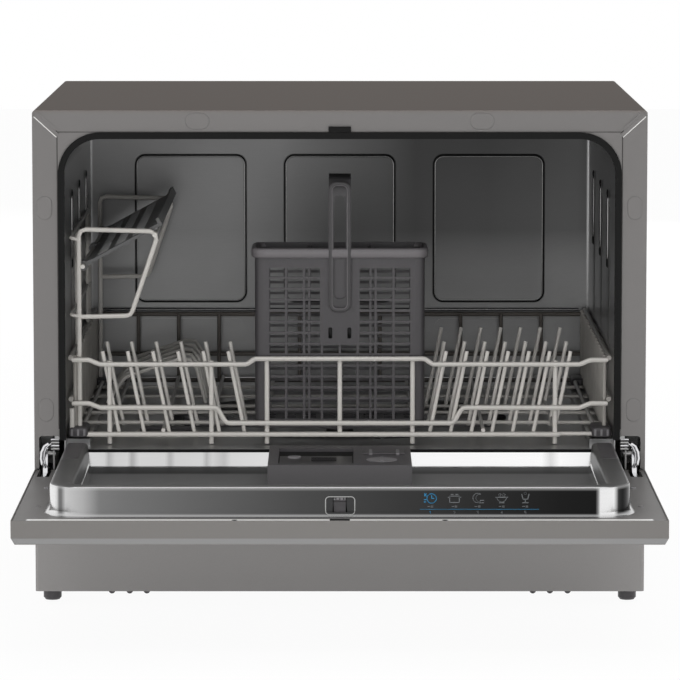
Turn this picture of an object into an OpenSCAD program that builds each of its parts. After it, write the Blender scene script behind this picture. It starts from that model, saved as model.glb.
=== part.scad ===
// Countertop dishwasher, door open, rack home. Millimetres, +Z up, front of the cabinet faces -Y.
// Built about the cabinet's front plane (y = 0) and the table (z = 0), then moved back or forward
// so that the origin is the middle of the footprint.

/* [Cabinet] */
// Outside width of the painted cabinet and of the door
cab_w = 550; // [548:1:556]
// Height of the cabinet top above the table
cab_h = 447; // [446:1:452]
// Depth from the front frame to the back of the painted wrap
cab_d = 462; // [460:1:470]
// Height of the feet
foot_h = 12; // [10:1:16]
// Diameter of a foot at its sole
foot_dia = 16; // [12:1:20]
// Thickness of the painted sheet steel
sheet_t = 0.8; // [0.6:0.1:1.0]
// Width of the front frame beside the opening
frame_side_w = 22.4; // [22:0.2:23]
// Width of the front frame above the opening
frame_top_w = 19.3; // [19:0.1:20]
// Height of the kick panel
kick_h = 68; // [56:1:68]
// Radius of the vertical edges of the kick panel
kick_r = 3; // [2:0.5:5]

/* [Tub] */
// Height of the tub floor above the underside of the cabinet
base_h = 129.5; // [128:0.5:133]
// Gap between the tub ceiling and the cabinet top
roof_gap = 24; // [22:0.5:24.5]
// Gap between each tub wall and the side of the cabinet
side_gap = 27.8; // [27.4:0.1:28]
// Gap between the tub's back wall and the back of the cabinet
back_gap = 22; // [20:0.5:24]
// Thickness of the stainless tub
tub_t = 1; // [0.8:0.1:1.2]
// Radius of the tub's upper corners
tub_r = 30; // [24:1:34]
// Radius of the round dish that the spray arm turns in
dish_r = 158; // [152:1:162]
// Depth of that dish
dish_depth = 14; // [13:0.5:15]
// Height of the runner ledges above the tub floor
ledge_h = 6.1; // [6:0.1:6.3]
// Width of the door gasket
gasket_w = 5.8; // [5:0.1:6]
// Diameter of the filter cup in the dish
filter_dia = 84; // [70:1:90]

/* [Door] */
// Thickness of the door body
door_t = 20.7; // [20:0.1:22]
// Gap between the closed door and the front frame
door_gap = 3.3; // [3.2:0.1:3.5]
// Distance of the hinge pins behind the front frame
pivot_in = 10; // [9.8:0.1:10.2]
// Height of the hinge pins below the tub floor
pivot_drop = 5.1; // [5:0.1:5.3]
// Gap between the top of the closed door and the cabinet top
door_top_gap = 2.6; // [2:0.1:4]
// Width of the bevel round the door's outer face
door_bevel = 6; // [4:0.5:7]
// Height of the raised liner pan above the door's inner face
pan_h = 25.2; // [24.6:0.1:25.3]
// Distance from the door's free edge to the liner pan
pan_inset = 23.6; // [23.4:0.1:25]
// Radius of the liner pan's outer corners
pan_r = 36; // [30:1:40]
// Width of the flat rim round the liner's recess
rim_w = 19.4; // [18:0.2:21]
// Depth of the liner's recess below the rim
recess_depth = 21.7; // [20:0.1:22]
// Diameter of the hinge pins
pin_dia = 8; // [7:0.5:9]
// Thickness of a hinge arm
arm_t = 4; // [3:0.5:5]

/* [Dispenser] */
// Width of the dispenser
disp_w = 126; // [124:1:127]
// Length of the dispenser
disp_l = 136; // [132:1:140]
// Height of the dispenser above the recess floor
disp_h = 19.5; // [18:0.1:19.8]
// Width of the detergent lid
lid_w = 64; // [60:1:66]
// Length of the detergent lid
lid_l = 46; // [42:1:47]
// Diameter of the rinse aid cap
rinse_dia = 27; // [24:1:30]

/* [Rack] */
// Diameter of the rack's frame wire
rail_dia = 4.4; // [4:0.1:4.6]
// Diameter of the rack's thinner wire
pin_wire = 3.6; // [3:0.1:4]
// Height from the bottom wire to the top wire
rack_h = 66; // [62:1:70]
// Gap from the front frame to the front wires
rack_in = 28; // [27.6:0.1:29]
// Gap from the back wires to the tub's back wall
rack_back_gap = 12; // [10:0.5:16]
// Gap between the rack and each tub wall
rack_side_gap = 3.6; // [3.4:0.1:5]
// Plate pins in a row on the left
left_pins = 6; // [5:1:7]
// Plate pins in a row on the right
right_pins = 7; // [6:1:8]
// Height of the plate pins
plate_pin_h = 76; // [60:1:84]
// Sideways lean of the plate pins
pin_lean = 15.5; // [10:0.5:18]
// Gap between the glides and the ledges that carry them
glide_gap = 0.4; // [0.3:0.1:0.6]

/* [Cup shelf] */
// Width of the cup shelf
shelf_w = 81; // [70:1:84]
// Gap between the shelf's rear loop and the rack's back wires
shelf_gap = 28; // [22:1:40]
// Thickness of the cup shelf
shelf_t = 3; // [2.5:0.1:3.5]
// Tilt of the cup shelf
shelf_tilt = 28.5; // [24:0.5:30]
// Height of the shelf's hinge rod above the bottom wire
shelf_rise = 152; // [146:1:156]

/* [Cutlery basket] */
// Width of the cutlery basket
cut_w = 154; // [150:1:156]
// Depth of the cutlery basket
cut_d = 60; // [54:1:64]
// Height of the cutlery basket
cut_h = 163; // [150:1:164]
// Gap between the basket's handle and the tub ceiling
cut_gap = 38.9; // [38:0.1:48]
// Rows of openings in the front and back
cut_rows = 14; // [12:1:15]
// Columns of openings in the front and back
cut_cols = 8; // [6:2:10]
// Wall thickness of the cutlery basket
cut_t = 2; // [1.8:0.1:2.4]

/* [Spray arm] */
// Length of the spray arm
arm_l = 296; // [280:1:300]
// Width of the spray arm
arm_w = 36; // [30:1:40]
// Diameter of the bearing stub that the arm turns on
hub_dia = 18; // [16:0.5:20]

/* [Connections] */
// Outside radius of the water inlet's thread
inlet_r = 13.2; // [13:0.1:13.4]
// Outside radius of the drain hose spigot
drain_r = 9.5; // [9:0.1:10]

/* [Hidden] */
$fn = 48;

// Clearances
fit = 0.05;         // radial running clearance of a turning pin or plug
slip = 0.3;         // between pieces that move past each other
seat = 0.2;         // between fixed covers and their openings
eps = 0.01;
weld = 0.02;        // between wires that are welded side by side

// Cabinet and tub
half_w = cab_w / 2;
floor_z = foot_h + base_h;
ceil_z = cab_h - roof_gap;
tub_half = half_w - side_gap;
tub_back_y = cab_d - back_gap;
open_half = half_w - frame_side_w;
open_top = cab_h - frame_top_w;
ledge_z = floor_z + ledge_h;
ledge_w = 21;
dish_z = floor_z - dish_depth;
dish_y = 222;
filter_x = 70;
filter_y = 150;
salt_x = -160;
salt_y = 110;
wash_y = 250;
wash_z = 60;
drain_pump_x = -95;
drain_pump_y = 190;
drain_pump_z = 54;
inner_half = half_w - sheet_t;
panel_y = cab_d - 2;
tray_y = 16;
tray_lift = 0.5;
tray_rib_z = foot_h + 8;
kick_top = foot_h + kick_h;
frame_low = floor_z - 17.5;
lip_y = 3.5;
lip_drop = 11;

// Door, open: it lies level, with its inner face up
pivot_y = pivot_in;
pivot_z = floor_z - pivot_drop;
door_in_z = pivot_z - pivot_y - door_gap;
door_out_z = door_in_z - door_t;
door_reach = cab_h - door_top_gap - pivot_z;
door_tip_y = pivot_y - door_reach;
door_end_y = -1;
skirt_end_y = 46;
skirt_h = 13.6;
skirt_half = half_w - 3;
flange_z = door_in_z - 1.5;
rim_z = door_in_z + pan_h - 0.6;
pan_front_y = door_tip_y + pan_inset;
pan_half = tub_half - 1.8;
recess_half = pan_half - rim_w;
recess_front_y = pan_front_y + 20;
recess_z = rim_z - recess_depth;
hinge_wall_h = 13;
wall_y = 0.5;
liner_t = 0.8;
slot_in = open_half;
slot_out = half_w - 4.2;
slot_top = floor_z + 12.1;
arm_x = half_w - 10;
bracket_x = arm_x - arm_t / 2 - 6;
spring_z = pivot_z + 20;
arm_tail_y = -72;

// Dispenser
disp_top = recess_z + disp_h;
disp_back_y = -4;
disp_front_y = disp_back_y - disp_l;
disp_low = door_out_z + 6;
lid_x = -21;
lid_back_y = disp_back_y - 65;
lid_travel = lid_l - 2;
rinse_x = 37;
rinse_y = -95;

// Rack, home
rack_half = tub_half - rack_side_gap;
low_z = ledge_z + 3.6;
top_z = low_z + rack_h;
mid_z = low_z + rack_h * 0.4;
rack_front_y = rack_in;
rack_back_y = tub_back_y - rack_back_gap;
rack_len = rack_back_y - rack_front_y;
foot_xs = [-0.857, -0.478, -0.271, 0.2706, 0.8013] * rack_half;
pin_rows = [rack_front_y + 8, rack_front_y + 0.205 * rack_len, rack_front_y + 0.495 * rack_len];
left_pin_x0 = -(rack_half - 28.4);
right_pin_x0 = rack_half - 34.3;
left_pitch = (-left_pin_x0 - pin_lean - cut_w / 2 - 8.7) / (left_pins - 1);
right_pitch = (right_pin_x0 - pin_lean - cut_w / 2 - 4) / (right_pins - 1);
floor_wire_z = low_z + pin_wire + weld;

// Cup shelf and its loops
loop_in = 12;
side_pin_x = rack_half - rail_dia + 1;
loop_out_x = -side_pin_x + (pin_wire + rail_dia) / 2 + weld;
loop_front_y = rack_front_y + loop_in;
loop_back_y = rack_back_y - shelf_gap;
shelf_l = loop_back_y - loop_front_y - 10;
rod_x = -rack_half + 11;
rod_z = low_z + shelf_rise;
rest_drop = 5.9;
rest_x = rod_x + (shelf_w - 10) * cos(shelf_tilt) + rest_drop * sin(shelf_tilt);
rest_z = rod_z + (shelf_w - 10) * sin(shelf_tilt) - rest_drop * cos(shelf_tilt);

// Cutlery basket
cut_y = rack_front_y + 1.5 * rail_dia + 1;
cut_z = floor_wire_z + pin_wire / 2 + 0.6;
cut_top = cut_z + cut_h;
cut_handle_h = ceil_z - cut_gap - cut_top;
cut_post = 11;

// Rear parts set how far the product reaches back
rear_reach = 18;
y_shift = -(door_tip_y + cab_d + rear_reach) / 2;

// Colours
paint = "#8d8b87";
dark_plastic = "#4a484a";
black = "#1c1c1d";
steel = "#b9babb";
chrome = "#d8d8d8";
wire_grey = "#c3c0ba";

// ---- helpers ------------------------------------------------------------------------------

// Box given by its lowest and highest corners
module span(a, b) translate(a) cube(b - a);

// Flat rounded rectangle from (x0, y0) to (x1, y1), made of true arcs
module round_rect(x0, y0, x1, y1, r) {
    translate([x0 + r, y0]) square([x1 - x0 - 2 * r, y1 - y0]);
    translate([x0, y0 + r]) square([x1 - x0, y1 - y0 - 2 * r]);
    for (x = [x0 + r, x1 - r], y = [y0 + r, y1 - r]) translate([x, y]) circle(r);
}

// The same with only its two upper corners rounded
module arch_rect(x0, y0, x1, y1, r) {
    translate([x0, y0]) square([x1 - x0, y1 - y0 - r]);
    translate([x0 + r, y1 - r - eps]) square([x1 - x0 - 2 * r, r + eps]);
    for (x = [x0 + r, x1 - r]) translate([x, y1 - r]) circle(r);
}

// Extrude a drawing in X and Z along Y from y0 to y1
module along_y(y0, y1) translate([0, y1, 0]) rotate([90, 0, 0]) linear_extrude(y1 - y0) children();

// Extrude a drawing in Y and Z along X from x0 to x1
module along_x(x0, x1)
    translate([x0, 0, 0]) rotate([90, 0, 90]) linear_extrude(x1 - x0) children();

module mirror_x() {
    children();
    mirror([1, 0, 0]) children();
}

// Straight wire between two points
module rod(a, b, d) {
    v = b - a;
    translate(a) rotate([0, acos(v.z / norm(v)), atan2(v.y, v.x)]) cylinder(h = norm(v), d = d);
}

function unit(v) = v / norm(v);

// Wire through a list of points, with a ball at every corner
module ball_wire(p, d) {
    for (i = [0:len(p) - 2]) rod(p[i], p[i + 1], d);
    for (i = [1:len(p) - 2]) translate(p[i]) sphere(d = d + 0.12);
}

// Three points of an arc of radius r that rounds the corner b between a and c
function rounded(a, b, c, r) = let (
    u = unit(b - a), v = unit(c - b), half = acos(u * v) / 2,
    o = b + unit(v - u) * (r / cos(half)), t = r * tan(half))
    [for (q = [b - u * t, b, b + v * t]) o + unit(q - o) * r];

// The same list of points with every inner corner rounded
function round_path(p, r) = [p[0], for (i = [1:len(p) - 2]) each rounded(p[i - 1], p[i], p[i + 1], r),
    p[len(p) - 1]];

// Points of a coil of radius r about Z: n turns with the given rise
function coil_path(r, n, rise) = [for (i = [0:n * 8]) [r * cos(i * 45), r * sin(i * 45), i * rise / 8]];

// Bent wire or coil as one swept tube: n is a direction square to the whole path
module tube(p, n, d, sides = 8) {
    last = len(p) - 1;
    points = [for (i = [0:last], j = [0:sides - 1]) let (
        s = unit(cross(unit(p[min(i + 1, last)] - p[max(i - 1, 0)]), n)), q = j * 360 / sides)
        p[i] + (s * cos(q) + n * sin(q)) * d / 2];
    walls = [for (i = [0:last - 1], j = [0:sides - 1]) let (
        m = i * sides + j, k = i * sides + (j + 1) % sides)
        each [[m, k, k + sides], [m, k + sides, m + sides]]];
    start = [for (j = [1:sides - 2]) [0, j + 1, j]];
    end = [for (j = [1:sides - 2]) [last * sides, last * sides + j, last * sides + j + 1]];
    polyhedron(points, concat(walls, start, end));
}

// ---- cabinet ------------------------------------------------------------------------------

// Painted sheet folded over the top and both sides, with the frame round the opening
module cabinet_wrap() color(paint) difference() {
    union() {
        difference() {
            along_y(0, cab_d) arch_rect(-half_w, foot_h, half_w, cab_h, 3);
            along_y(sheet_t, cab_d + 1)
                arch_rect(-half_w + sheet_t, foot_h - 1, half_w - sheet_t, cab_h - sheet_t, 2.2);
            along_y(-1, 2) translate([-open_half, foot_h - 1])
                square([2 * open_half, open_top - foot_h + 1]);
        }
        mirror_x() mitre_bead();
    }
    span([-half_w - 1, -1, foot_h - 1], [half_w + 1, 14 + seat, kick_top + seat]);
    span([-half_w + sheet_t, -1, kick_top], [half_w - sheet_t, sheet_t + eps, frame_low]);
    mirror_x() along_y(-1, 1)
        arch_rect(slot_in - 1, frame_low - 1, slot_out, slot_top, 3);
}

// Raised bead along the mitre of the front frame
module mitre_bead() {
    reach = [frame_side_w, -frame_top_w];
    along = unit(reach);
    side = [along.y, -along.x] * 2.4;
    from = [-half_w, cab_h] + along * 6;
    to = [-half_w, cab_h] + reach - along * 4;
    along_y(-0.7, 0.3) {
        polygon([from - side, to - side, to + side, from + side]);
        translate(from) circle(2.4);
        translate(to) circle(2.4);
    }
}

// Painted plinth across the front, with rounded vertical edges
module kick_panel() color(paint) translate([0, 0, foot_h]) {
    linear_extrude(kick_h) difference() {
        round_rect(-half_w, 0, half_w, 28, kick_r);
        round_rect(-half_w + sheet_t, sheet_t, half_w - sheet_t, 29, kick_r - sheet_t);
        translate([-half_w - 1, 14]) square([cab_w + 2, 20]);
    }
    // lip under the tray's front edge
    span([-half_w + 115, sheet_t - eps, 0], [half_w - 115, tray_y + 4, tray_lift]);
}

// Moulded tray that closes the underside and holds the pumps
module base_tray() color(dark_plastic) difference() {
    union() {
        difference() {
            span([-inner_half, tray_y, foot_h + tray_lift], [inner_half, panel_y, foot_h + 16]);
            span([-inner_half + 2, tray_y + 2, foot_h + 3], [inner_half - 2, panel_y - 2, foot_h + 20]);
        }
        for (y = [80:60:400]) span([-inner_half + 1, y, foot_h + 2], [inner_half - 1, y + 2, tray_rib_z]);
        for (s = [-1, 1], x = [69, 85, 100.5])
            translate([s * (half_w - x), 2, foot_h + 0.6]) rotate([-90, 0, 0]) cylinder(h = 20, d = 6);
    }
    at_feet() translate([0, 0, foot_h - 1]) cylinder(h = 12, d = 6 + 2 * fit);
}

module at_feet() for (s = [-1, 1], y = [30, cab_d - 34])
    translate([s * (half_w - 13.5), y, 0]) children();

// Four bevelled feet, each with a plug that goes up into the tray
module rubber_feet() color(black) at_feet() {
    cylinder(h = 2, d1 = foot_dia - 3, d2 = foot_dia, $fn = 32);
    translate([0, 0, 2]) cylinder(h = foot_h + tray_lift - 2, d = foot_dia + 0.4);
    translate([0, 0, foot_h]) cylinder(h = 7, d = 6);
}

// Steel sheet across the back, with pressed ribs and openings for the connections
module rear_panel() color(paint) difference() {
    union() {
        along_y(panel_y, panel_y + 1)
            arch_rect(-inner_half, foot_h + 4, inner_half, cab_h - sheet_t, 2.4);
        for (i = [-1.5:1.5]) along_y(panel_y + 0.5, panel_y + 2.5) round_rect((i - 0.35) * rib_pitch,
            floor_z + 48, (i + 0.35) * rib_pitch, cab_h - 37, 12);
    }
    for (x = [inlet_x, drain_x, gland_x]) translate([x, panel_y - 3, rear_z])
        rotate([-90, 0, 0]) cylinder(h = 10, r = 20);
    at_rear_screws() cylinder(h = 6, d = 3.4);
    for (x = [-30:12:30]) along_y(panel_y - 3, panel_y + 4) round_rect(x - 2, 90, x + 2, 150, 1.9);
}

inlet_x = -(half_w - 85);
drain_x = -(half_w - 155);
gland_x = half_w - 75;
rear_z = 75;
rib_pitch = half_w * 0.436;

module at_rear_screws()
    for (x = [-1, -0.35, 0.35, 1], z = [foot_h + 25, cab_h - 12])
        translate([x * (half_w - 12), panel_y - 1.5, z]) rotate([-90, 0, 0]) children();

module rear_screws() color(steel) at_rear_screws() {
    cylinder(h = 3, d = 3.3);
    translate([0, 0, 2.5]) cylinder(h = 2, d = 7);
}

// Stainless wrapper of the wash tub: sides, ceiling, front flange and the ledges for the rack
module tub_shell() color(steel) difference() {
    union() {
        along_y(lip_y, tub_back_y) difference() {
            arch_rect(-tub_half - tub_t, floor_z - tub_t, tub_half + tub_t, ceil_z + tub_t, tub_r + tub_t);
            tub_room();
        }
        // flange behind the painted frame, and the step back to the walls
        along_y(sheet_t, sheet_t + tub_t) difference() {
            arch_rect(-open_half - 4, floor_z + 9, open_half + 4, open_top + 6, 10);
            tub_room();
        }
        along_y(sheet_t, lip_y + eps) difference() {
            arch_rect(-tub_half - tub_t, floor_z + 9, tub_half + tub_t, ceil_z + tub_t,
                tub_r + tub_t);
            tub_room();
        }
        mirror_x() side_ribs();
        mirror_x() span([tub_half - ledge_w, lip_y + 22, floor_z], [tub_half + eps, tub_back_y, ledge_z]);
    }
    striker_slot();
}

// Outline of the room inside the tub, open below
module tub_room() arch_rect(-tub_half, floor_z - 2 * tub_t, tub_half, ceil_z, tub_r);

// Back wall: three pressed panels above a crease and three low ones below it
module tub_back() color(steel) {
    along_y(tub_back_y, tub_back_y + tub_t) arch_rect(-tub_half - tub_t, floor_z - tub_t,
        tub_half + tub_t, ceil_z + tub_t, tub_r + tub_t);
    for (i = [-1:1], z = [[14, 70], [88, ceil_z - 49 - floor_z]]) along_y(tub_back_y - 1.4, tub_back_y + eps)
        round_rect((i * 2.74 - 1) * panel_half, floor_z + z[0], (i * 2.74 + 1) * panel_half,
            floor_z + z[1], 9);
}

panel_half = tub_half * 0.2184;

// Three upright ribs pressed into each side wall
module side_ribs() for (i = [-1:1])
    translate([tub_half, tub_back_y * (0.51 + i * 0.26), floor_z + 60]) linear_extrude(ceil_z - floor_z - 130)
        polygon([[eps, -16], [-0.9, -12], [-0.9, 12], [eps, 16]]);

// Tub floor with its front lip and the sunk round dish
module tub_floor() color(steel) difference() {
    union() {
        span([-tub_half, lip_y, floor_z - tub_t], [tub_half, tub_back_y, floor_z]);
        span([-tub_half, lip_y, floor_z - lip_drop], [tub_half, lip_y + tub_t, floor_z]);
        translate([0, dish_y, dish_z - tub_t]) cylinder(h = dish_depth, r = dish_r + tub_t);
    }
    translate([0, dish_y, dish_z]) cylinder(h = dish_depth + 1, r = dish_r);
    translate([filter_x, filter_y, dish_z - 3]) cylinder(h = 6, d = filter_dia - 8);
    translate([0, dish_y, dish_z - 3]) cylinder(h = 6, d = hub_dia + 8.2);
    translate([salt_x, salt_y, floor_z - 3]) cylinder(h = 6, d = 52.4);
}

// Rubber seal round the sides and the top of the opening, and the strip along the floor's lip
module door_gasket() color(black) {
    along_y(-2.7, sheet_t) difference() {
        arch_rect(-open_half + 0.4, floor_z + 8.6, open_half - 0.4, open_top - 0.4,
            tub_r + gasket_w + 2);
        arch_rect(-open_half + 0.4 + gasket_w, floor_z, open_half - 0.4 - gasket_w,
            open_top - 0.4 - gasket_w, tub_r + 2);
    }
    span([-tub_half + 1, lip_y - 1.2, floor_z - 7], [tub_half - 1, lip_y, floor_z - 0.4]);
}

// Stop on the top frame, and the slotted plate on the tub ceiling that the latch claw grips
module latch_striker() color(black) {
    span([-10, -3, open_top + 0.1], [10, 0, open_top + 4.9]);
    difference() {
        span([-16, sheet_t + tub_t, ceil_z + tub_t], [16, 22, ceil_z + tub_t + 1.6]);
        striker_slot();
    }
}

// Slot through the tub ceiling and the striker plate
module striker_slot() span([-8, lip_y + 0.7, ceil_z - 1], [8, 15, ceil_z + 6]);

// Round caps that the closed door rests against
module bumper_caps() color(paint) {
    for (x = [-127, 127]) translate([x, 0, cab_h - 9.5]) rotate([90, 0, 0]) cap();
    for (s = [-1, 1], z = [cab_h - 87.4, floor_z + 35.8])
        translate([s * (half_w - 10.8), 0, z]) rotate([90, 0, 0]) cap();
}

module cap() {
    cylinder(h = 0.8, d = 16);
    translate([0, 0, 0.8]) cylinder(h = 0.8, d1 = 16, d2 = 13, $fn = 48);
}

// ---- hinges -------------------------------------------------------------------------------

// Folded steel channel on each side round the arm's head, with a cross bar for the spring
module hinge_brackets() color(steel) mirror_x() difference() {
    union() {
        for (x = [bracket_x, inner_half - 1.5]) along_x(x, x + 1.5)
            polygon([[2.4, pivot_z - 16], [64, pivot_z - 16], [64, pivot_z + 30],
                [30, pivot_z + 30], [2.4, pivot_z + 12]]);
        span([bracket_x, 62.5, pivot_z - 16], [inner_half, 64, pivot_z + 30]);
        rod([bracket_x + 1, 28.1, spring_z], [inner_half - 1, 28.1, spring_z], 4);
    }
    translate([arm_x - 20, pivot_y, pivot_z]) rotate([0, 90, 0]) cylinder(h = 40, d = pin_dia);
}

module hinge_pins() color(chrome) mirror_x()
    translate([bracket_x - 1, pivot_y, pivot_z]) rotate([0, 90, 0])
        cylinder(h = inner_half - bracket_x + 0.5, d = pin_dia);

// Counterbalance spring of each hinge, on a guide rod between the bracket's web and its cross bar
module hinge_springs() color(chrome) mirror_x()
    translate([arm_x, 62.5, spring_z]) rotate([90, 0, 0]) {
        translate([0, 0, 3 + 0.9 + weld]) tube(coil_path(3.4, 8, 3), [0, 0, 1], 1.8, 6);
        cylinder(h = 3, d = 8.6);
        cylinder(h = 31, d = 4);
        translate([0, 0, 28.8 + 2 * weld]) cylinder(h = 3.56, d = 8.6);
    }

// Curved plate on each side that joins the door to its hinge pin
module hinge_arms() color(chrome) mirror_x() difference() {
    along_x(arm_x - arm_t / 2, arm_x + arm_t / 2) {
        translate([pivot_y, pivot_z]) circle(9);
        polygon([[2, pivot_z + 4], [-3, pivot_z - 4], [-8, door_in_z - 2], [-8, flange_z],
            [arm_tail_y, flange_z], [arm_tail_y, door_out_z + 1], [-7, door_out_z + 1],
            [-4, door_out_z + 4], [8, pivot_z - 14], [16, pivot_z - 6]]);
    }
    translate([arm_x - 20, pivot_y, pivot_z]) rotate([0, 90, 0])
        cylinder(h = 40, d = pin_dia + 2 * fit);
    for (y = [-64, -34]) translate([arm_x - 20, y, door_out_z + 9.5]) rotate([0, 90, 0])
        cylinder(h = 40, d = 4.2);
}

// ---- water parts under the tub ------------------------------------------------------------

// Moulded sump below the dish, with the bearing stub of the spray arm
module sump_housing() color(dark_plastic) {
    difference() {
        union() {
            translate([filter_x, filter_y, dish_z - tub_t - 52]) cylinder(h = 52, d = filter_dia + 8);
            hull() {
                translate([filter_x, filter_y, dish_z - tub_t - 40]) cylinder(h = 24, d = 40, $fn = 32);
                translate([0, dish_y, dish_z - tub_t - 40]) cylinder(h = 24, d = 30, $fn = 32);
            }
            translate([0, dish_y, dish_z - tub_t - 40]) cylinder(h = 40, d = 36);
        }
        translate([filter_x, filter_y, dish_z - tub_t - 48]) cylinder(h = 60, d = filter_dia);
    }
    translate([0, dish_y, dish_z - 2]) cylinder(h = 6, d = hub_dia + 8);
    translate([0, dish_y, dish_z - 2]) cylinder(h = 19, d = hub_dia);
}

// Fine stainless strainer that lies over the sump
module filter_plate() color(steel) translate([filter_x, filter_y, dish_z]) difference() {
    cylinder(h = 1, d = filter_dia);
    translate([0, 0, -1]) cylinder(h = 3, d = 50.6);
    for (a = [0:30:330], r = [29, 34, 38.5]) if (r < filter_dia / 2 - 2)
        rotate(a) translate([r, 0, -1]) cylinder(h = 3, d = 2.6, $fn = 8);
}

// Cup strainer with a cross handle: a quarter turn locks it
module coarse_filter() color(dark_plastic) translate([filter_x, filter_y, dish_z]) {
    difference() {
        union() {
            translate([0, 0, -40]) cylinder(h = 40 + 1, d = 50);
            translate([0, 0, 1.3]) cylinder(h = 1.5, d = 58);
        }
        translate([0, 0, -38]) cylinder(h = 50, d = 44);
        for (a = [0:45:315], z = [-34, -20]) rotate(a + 22.5) span([18, -4.5, z], [30, 4.5, z + 10]);
    }
    for (a = [0, 90]) rotate(a) span([-23, -2, -4], [23, 2, 2.8]);
}

// Salt tank left of the sump, with its neck in the tub floor
module softener_tank() color("#d9d8d3") difference() {
    union() {
        span([salt_x - 62, salt_y - 60, tray_rib_z], [salt_x + 54, salt_y + 36, floor_z - 27.5]);
        translate([salt_x, salt_y, foot_h + 100]) cylinder(h = floor_z - foot_h - 100 + 1, d = 52);
        translate([salt_x, salt_y, floor_z + 0.4]) cylinder(h = 1.2, d = 58);
    }
    translate([salt_x, salt_y, foot_h + 40]) cylinder(h = 120, d = 42 + 2 * fit);
}

module salt_cap() color(dark_plastic) translate([salt_x, salt_y, floor_z]) difference() {
    union() {
        translate([0, 0, -14]) cylinder(h = 17, d = 42);
        translate([0, 0, 2]) cylinder(h = 2, d = 50);
        span([-22, -3, 3], [22, 3, 6]);
    }
    translate([0, 0, -15]) cylinder(h = 12, d = 36);
}

// Motor and pump on a foot, lying behind the sump
module wash_pump() color("#77787a") {
    translate([filter_x, wash_y, wash_z]) rotate([-90, 0, 0]) {
        cylinder(h = 26, d = 70);
        translate([0, 0, 26]) cylinder(h = 70, d = 58);
        for (a = [0:30:330]) rotate(a) translate([27, -1.5, 30]) cube([5, 3, 60]);
    }
    span([filter_x - 25, wash_y + 20, tray_rib_z], [filter_x + 25, wash_y + 80, wash_z - 20]);
}

module drain_pump() color("#8a8b86") {
    translate([drain_pump_x, drain_pump_y, drain_pump_z]) rotate([-90, 0, 0]) {
        cylinder(h = 24, d = 50);
        translate([0, 0, 24]) cylinder(h = 40, d = 38);
    }
    span([drain_pump_x - 15, drain_pump_y + 5, tray_rib_z], [drain_pump_x + 15, drain_pump_y + 55,
        drain_pump_z - 18]);
}

// Hoses between the sump, the pumps and the rear connections
module internal_hoses() color(black) {
    sump_r = filter_dia / 2 + 4;
    ball_wire([[filter_x, filter_y + sump_r, 88], [filter_x, wash_y - 25, 88],
        [filter_x, wash_y - 25, wash_z], [filter_x, wash_y, wash_z]], 16);
    ball_wire([[filter_x - sump_r, filter_y, 80], [drain_pump_x, filter_y, 80],
        [drain_pump_x, filter_y, drain_pump_z], [drain_pump_x, drain_pump_y, drain_pump_z]], 14);
    ball_wire([[drain_pump_x, drain_pump_y + 64, drain_pump_z], [drain_pump_x, drain_pump_y + 90,
        drain_pump_z], [drain_x, cab_d - 60, rear_z], [drain_x, cab_d - 31, rear_z]], 14);
}

// Solenoid valve with its threaded inlet through the back
module inlet_valve() color("#e6e4de") {
    span([inlet_x - 24, cab_d - 44, rear_z - 24], [inlet_x + 24, cab_d - 14, rear_z + 30]);
    translate([inlet_x, cab_d - 15, rear_z]) rotate([-90, 0, 0]) difference() {
        union() {
            cylinder(h = 10, r = inlet_r - 1.2);
            translate([0, 0, 8]) cylinder(h = 5, d = 46);
            translate([0, 0, 13 - eps]) cylinder(h = 2 + rear_reach + eps, r = inlet_r);
        }
        translate([0, 0, 8]) cylinder(h = 40, r = 9);
    }
    span([inlet_x - 12, cab_d - 44, rear_z + 29], [inlet_x + 12, cab_d - 18, rear_z + 60]);
}

module drain_outlet() color("#5b5c60") translate([drain_x, cab_d - 31, rear_z]) rotate([-90, 0, 0])
    difference() {
        union() {
            cylinder(h = 26, r = drain_r - 0.8);
            translate([0, 0, 24]) cylinder(h = 5, d = 46);
            translate([0, 0, 29 - eps]) cylinder(h = 17 + eps, r = drain_r);
        }
        translate([0, 0, -1]) cylinder(h = 60, r = drain_r - 2.5);
    }

// Grommet where the mains lead would leave the back
module cord_gland() color(black) translate([gland_x, cab_d - 8, rear_z]) rotate([-90, 0, 0])
    difference() {
        union() {
            cylinder(h = 14, d = 39.2);
            translate([0, 0, 7]) cylinder(h = 4, d = 46);
        }
        translate([0, 0, -1]) cylinder(h = 20, d = 8);
    }

// Flat moulded water chamber between the left tub wall and the wrap
module air_breather() color("#dcdbd6") {
    y = [0.27, 0.82] * tub_back_y;
    span([-half_w + 4, y[0], floor_z + 34], [-tub_half - tub_t - 3, y[1], ceil_z - 33]);
    for (i = [1:8]) let (z = floor_z + 34 + i * (ceil_z - floor_z - 67) / 9)
        span([-tub_half - tub_t - 3.5, y[0] + 5, z], [-tub_half - tub_t, y[1] - 5, z + 3]);
}

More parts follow.
